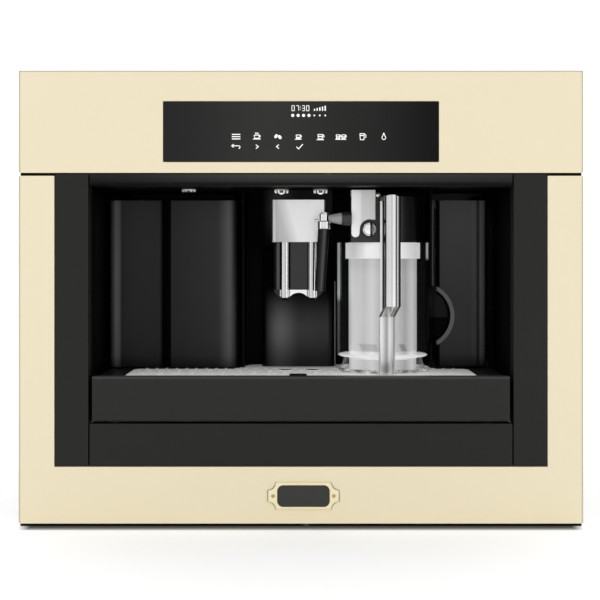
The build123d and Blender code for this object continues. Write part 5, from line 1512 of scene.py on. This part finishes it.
def button_chrome():
    """Chrome of the round button with a painted reflection: one dark streak in its bright face."""
    finish = Finish("Button chrome")
    glint = finish.profile(finish.axis(0), [(66.0, 0.8), (74.5, 0.9), (75.2, 0.05), (77.0, 0.05), (77.7, 0.6),
                                            (82.5, 0.75)])
    finish.set(Base_Color=finish.shade((1, 1, 0.995), glint), Metallic=0.8,
               Roughness=0.14 + finish.noise(30.0, 4.0) * 0.05)
    return finish.material


def cover_outline(low, high, button):
    """Front of the froth cover: top edge, right side, the round bite about the button, the tongue's round
    end and the left side. The bite starts where its circle meets the lower edge, and ends where it meets
    the tongue's side."""
    bite, tongue = 10.6 * MM, 9.0 * MM
    bottom = high[2] - 32.5 * MM
    to_tongue = button[0] - low[0] - tongue
    reach = math.degrees(math.acos((bottom - button[2]) / bite))
    lean = math.degrees(math.asin(to_tongue / bite)) if to_tongue < bite else 90
    bitten = arc((button[0], button[2]), bite, 90 - reach, 90 + lean, 18)
    end = arc((low[0] + tongue / 2, low[2] + tongue / 2), tongue / 2, 0, -180, 14)
    return np.vstack([[(low[0], high[2]), (high[0], high[2]), (high[0], bottom)], bitten, end])


class OBJECT_OT_coffee_lid_fittings(bpy.types.Operator):
    """Make the froth cover with its round bite, the ringed button in it and the pins beside it"""

    bl_idname = "object.coffee_lid_fittings"
    bl_label = "Lid fittings"

    def execute(self, context):
        low, high = corners("froth_cover")
        near, far = corners("clean_button")
        middle = (near + far) / 2
        silver = cover_silver()
        plate_t, shelf_h = 6.0 * MM, 5.7 * MM
        cover = prism("lid_cover", cover_outline(low, high, middle), low[1], low[1] + plate_t)
        shelf = np.array([(low[0], high[2]), (high[0], high[2]), (high[0], high[2] - shelf_h),
                          (low[0], high[2] - shelf_h)])
        back = prism("lid_cover_back", shelf, low[1] + plate_t - 0.2 * MM, high[1])
        add(eased(cover, 0.7 * MM), silver, "milk_jug")
        add(eased(back, 0.5 * MM), silver, "milk_jug")
        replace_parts(cover, "froth_cover")

        black = NODES["jug_lid"].data.materials[0]
        out = (0, -1, 0)
        # the well's bore leaves the button 0.3 mm all round
        rim_r, bore_r = 7.4, 7.7
        well = np.array([(bore_r, 0.0), (bore_r, 3.0), (8.3, 4.4), (9.4, 4.4), (9.6, 0.0)]) * MM
        place = np.array([middle[0], low[1] + 7.0 * MM, middle[2]])
        add(turned("button_well", well, place, out, 96), black, "milk_jug")
        # button: a low dome in a groove, inside a raised rim
        chrome = button_chrome()
        turn = np.linspace(math.pi / 2, 0, 8)
        dome = np.column_stack([6.1 * np.cos(turn), -0.2 + 1.4 * np.sin(turn)])
        rim = [(6.3, -0.6), (6.5, 0.5), (6.8, 0.9), (7.3, 0.6), (rim_r, -0.2), (rim_r, -6.0)]
        profile = np.vstack([[(1e-4, -6.0)], dome, rim]) * MM
        profile[1, 0] = 1e-6
        place = np.array([middle[0], near[1], middle[2]])
        button = add(turned("button_face", profile, place, out, 96), chrome, "clean_button")
        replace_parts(button, "clean_button")
        # round-headed pins: place in X and Z and radius, in millimetres
        pins = ((83.4, 351.0, 2.5, chrome), (85.0, 349.6, 1.9, black), (85.0, 343.6, 1.9, black))
        turn = np.linspace(0, math.pi / 2, 8)
        for index, (x, z, r, finish) in enumerate(pins):
            head = np.column_stack([r * np.cos(turn), 1.2 + 0.6 * r * np.sin(turn)])
            cap = np.vstack([[(1e-3, 0.0), (r, 0.0)], head]) * MM
            place = np.array([x * MM, low[1] + (1.5 + index) * MM, z * MM])
            add(turned(f"lid_pin_{index}", cap, place, out), finish, "milk_jug")
        return {"FINISHED"}


class VIEW3D_PT_coffee_machine(bpy.types.Panel):
    """Sidebar panel with the colours, the sizes and the steps"""

    bl_label = "Coffee Machine"
    bl_idname = "VIEW3D_PT_coffee_machine"
    bl_space_type = "VIEW_3D"
    bl_region_type = "UI"
    bl_category = "Coffee Machine"

    def draw(self, context):
        for group in (context.scene.coffee_colours, context.scene.coffee_sizes):
            box = self.layout.box()
            for name in group.__annotations__:
                box.prop(group, name)
        for operator in OPERATORS:
            self.layout.operator(operator.bl_idname)


OPERATORS = (OBJECT_OT_coffee_finish_frame, OBJECT_OT_coffee_signs, OBJECT_OT_coffee_plate,
             OBJECT_OT_coffee_lamps, OBJECT_OT_coffee_seals, OBJECT_OT_coffee_edge_highlights,
             OBJECT_OT_coffee_spout_tips, OBJECT_OT_coffee_milk_spout, OBJECT_OT_coffee_grille_marks,
             OBJECT_OT_coffee_screws, OBJECT_OT_coffee_jug, OBJECT_OT_coffee_handle,
             OBJECT_OT_coffee_lid_fittings, SCENE_OT_coffee_stage)
GROUPS = (CoffeeMachineColours, CoffeeMachineSizes)


def register():
    for made in (*GROUPS, *OPERATORS, VIEW3D_PT_coffee_machine):
        bpy.utils.register_class(made)
    bpy.types.Scene.coffee_colours = PointerProperty(type=CoffeeMachineColours)
    bpy.types.Scene.coffee_sizes = PointerProperty(type=CoffeeMachineSizes)


def unregister():
    del bpy.types.Scene.coffee_colours
    del bpy.types.Scene.coffee_sizes
    for made in reversed((*GROUPS, *OPERATORS, VIEW3D_PT_coffee_machine)):
        bpy.utils.unregister_class(made)


def main():
    register()
    for operator in OPERATORS:
        family, name = operator.bl_idname.split(".")
        getattr(getattr(bpy.ops, family), name)()


if __name__ == "__main__":
    main()
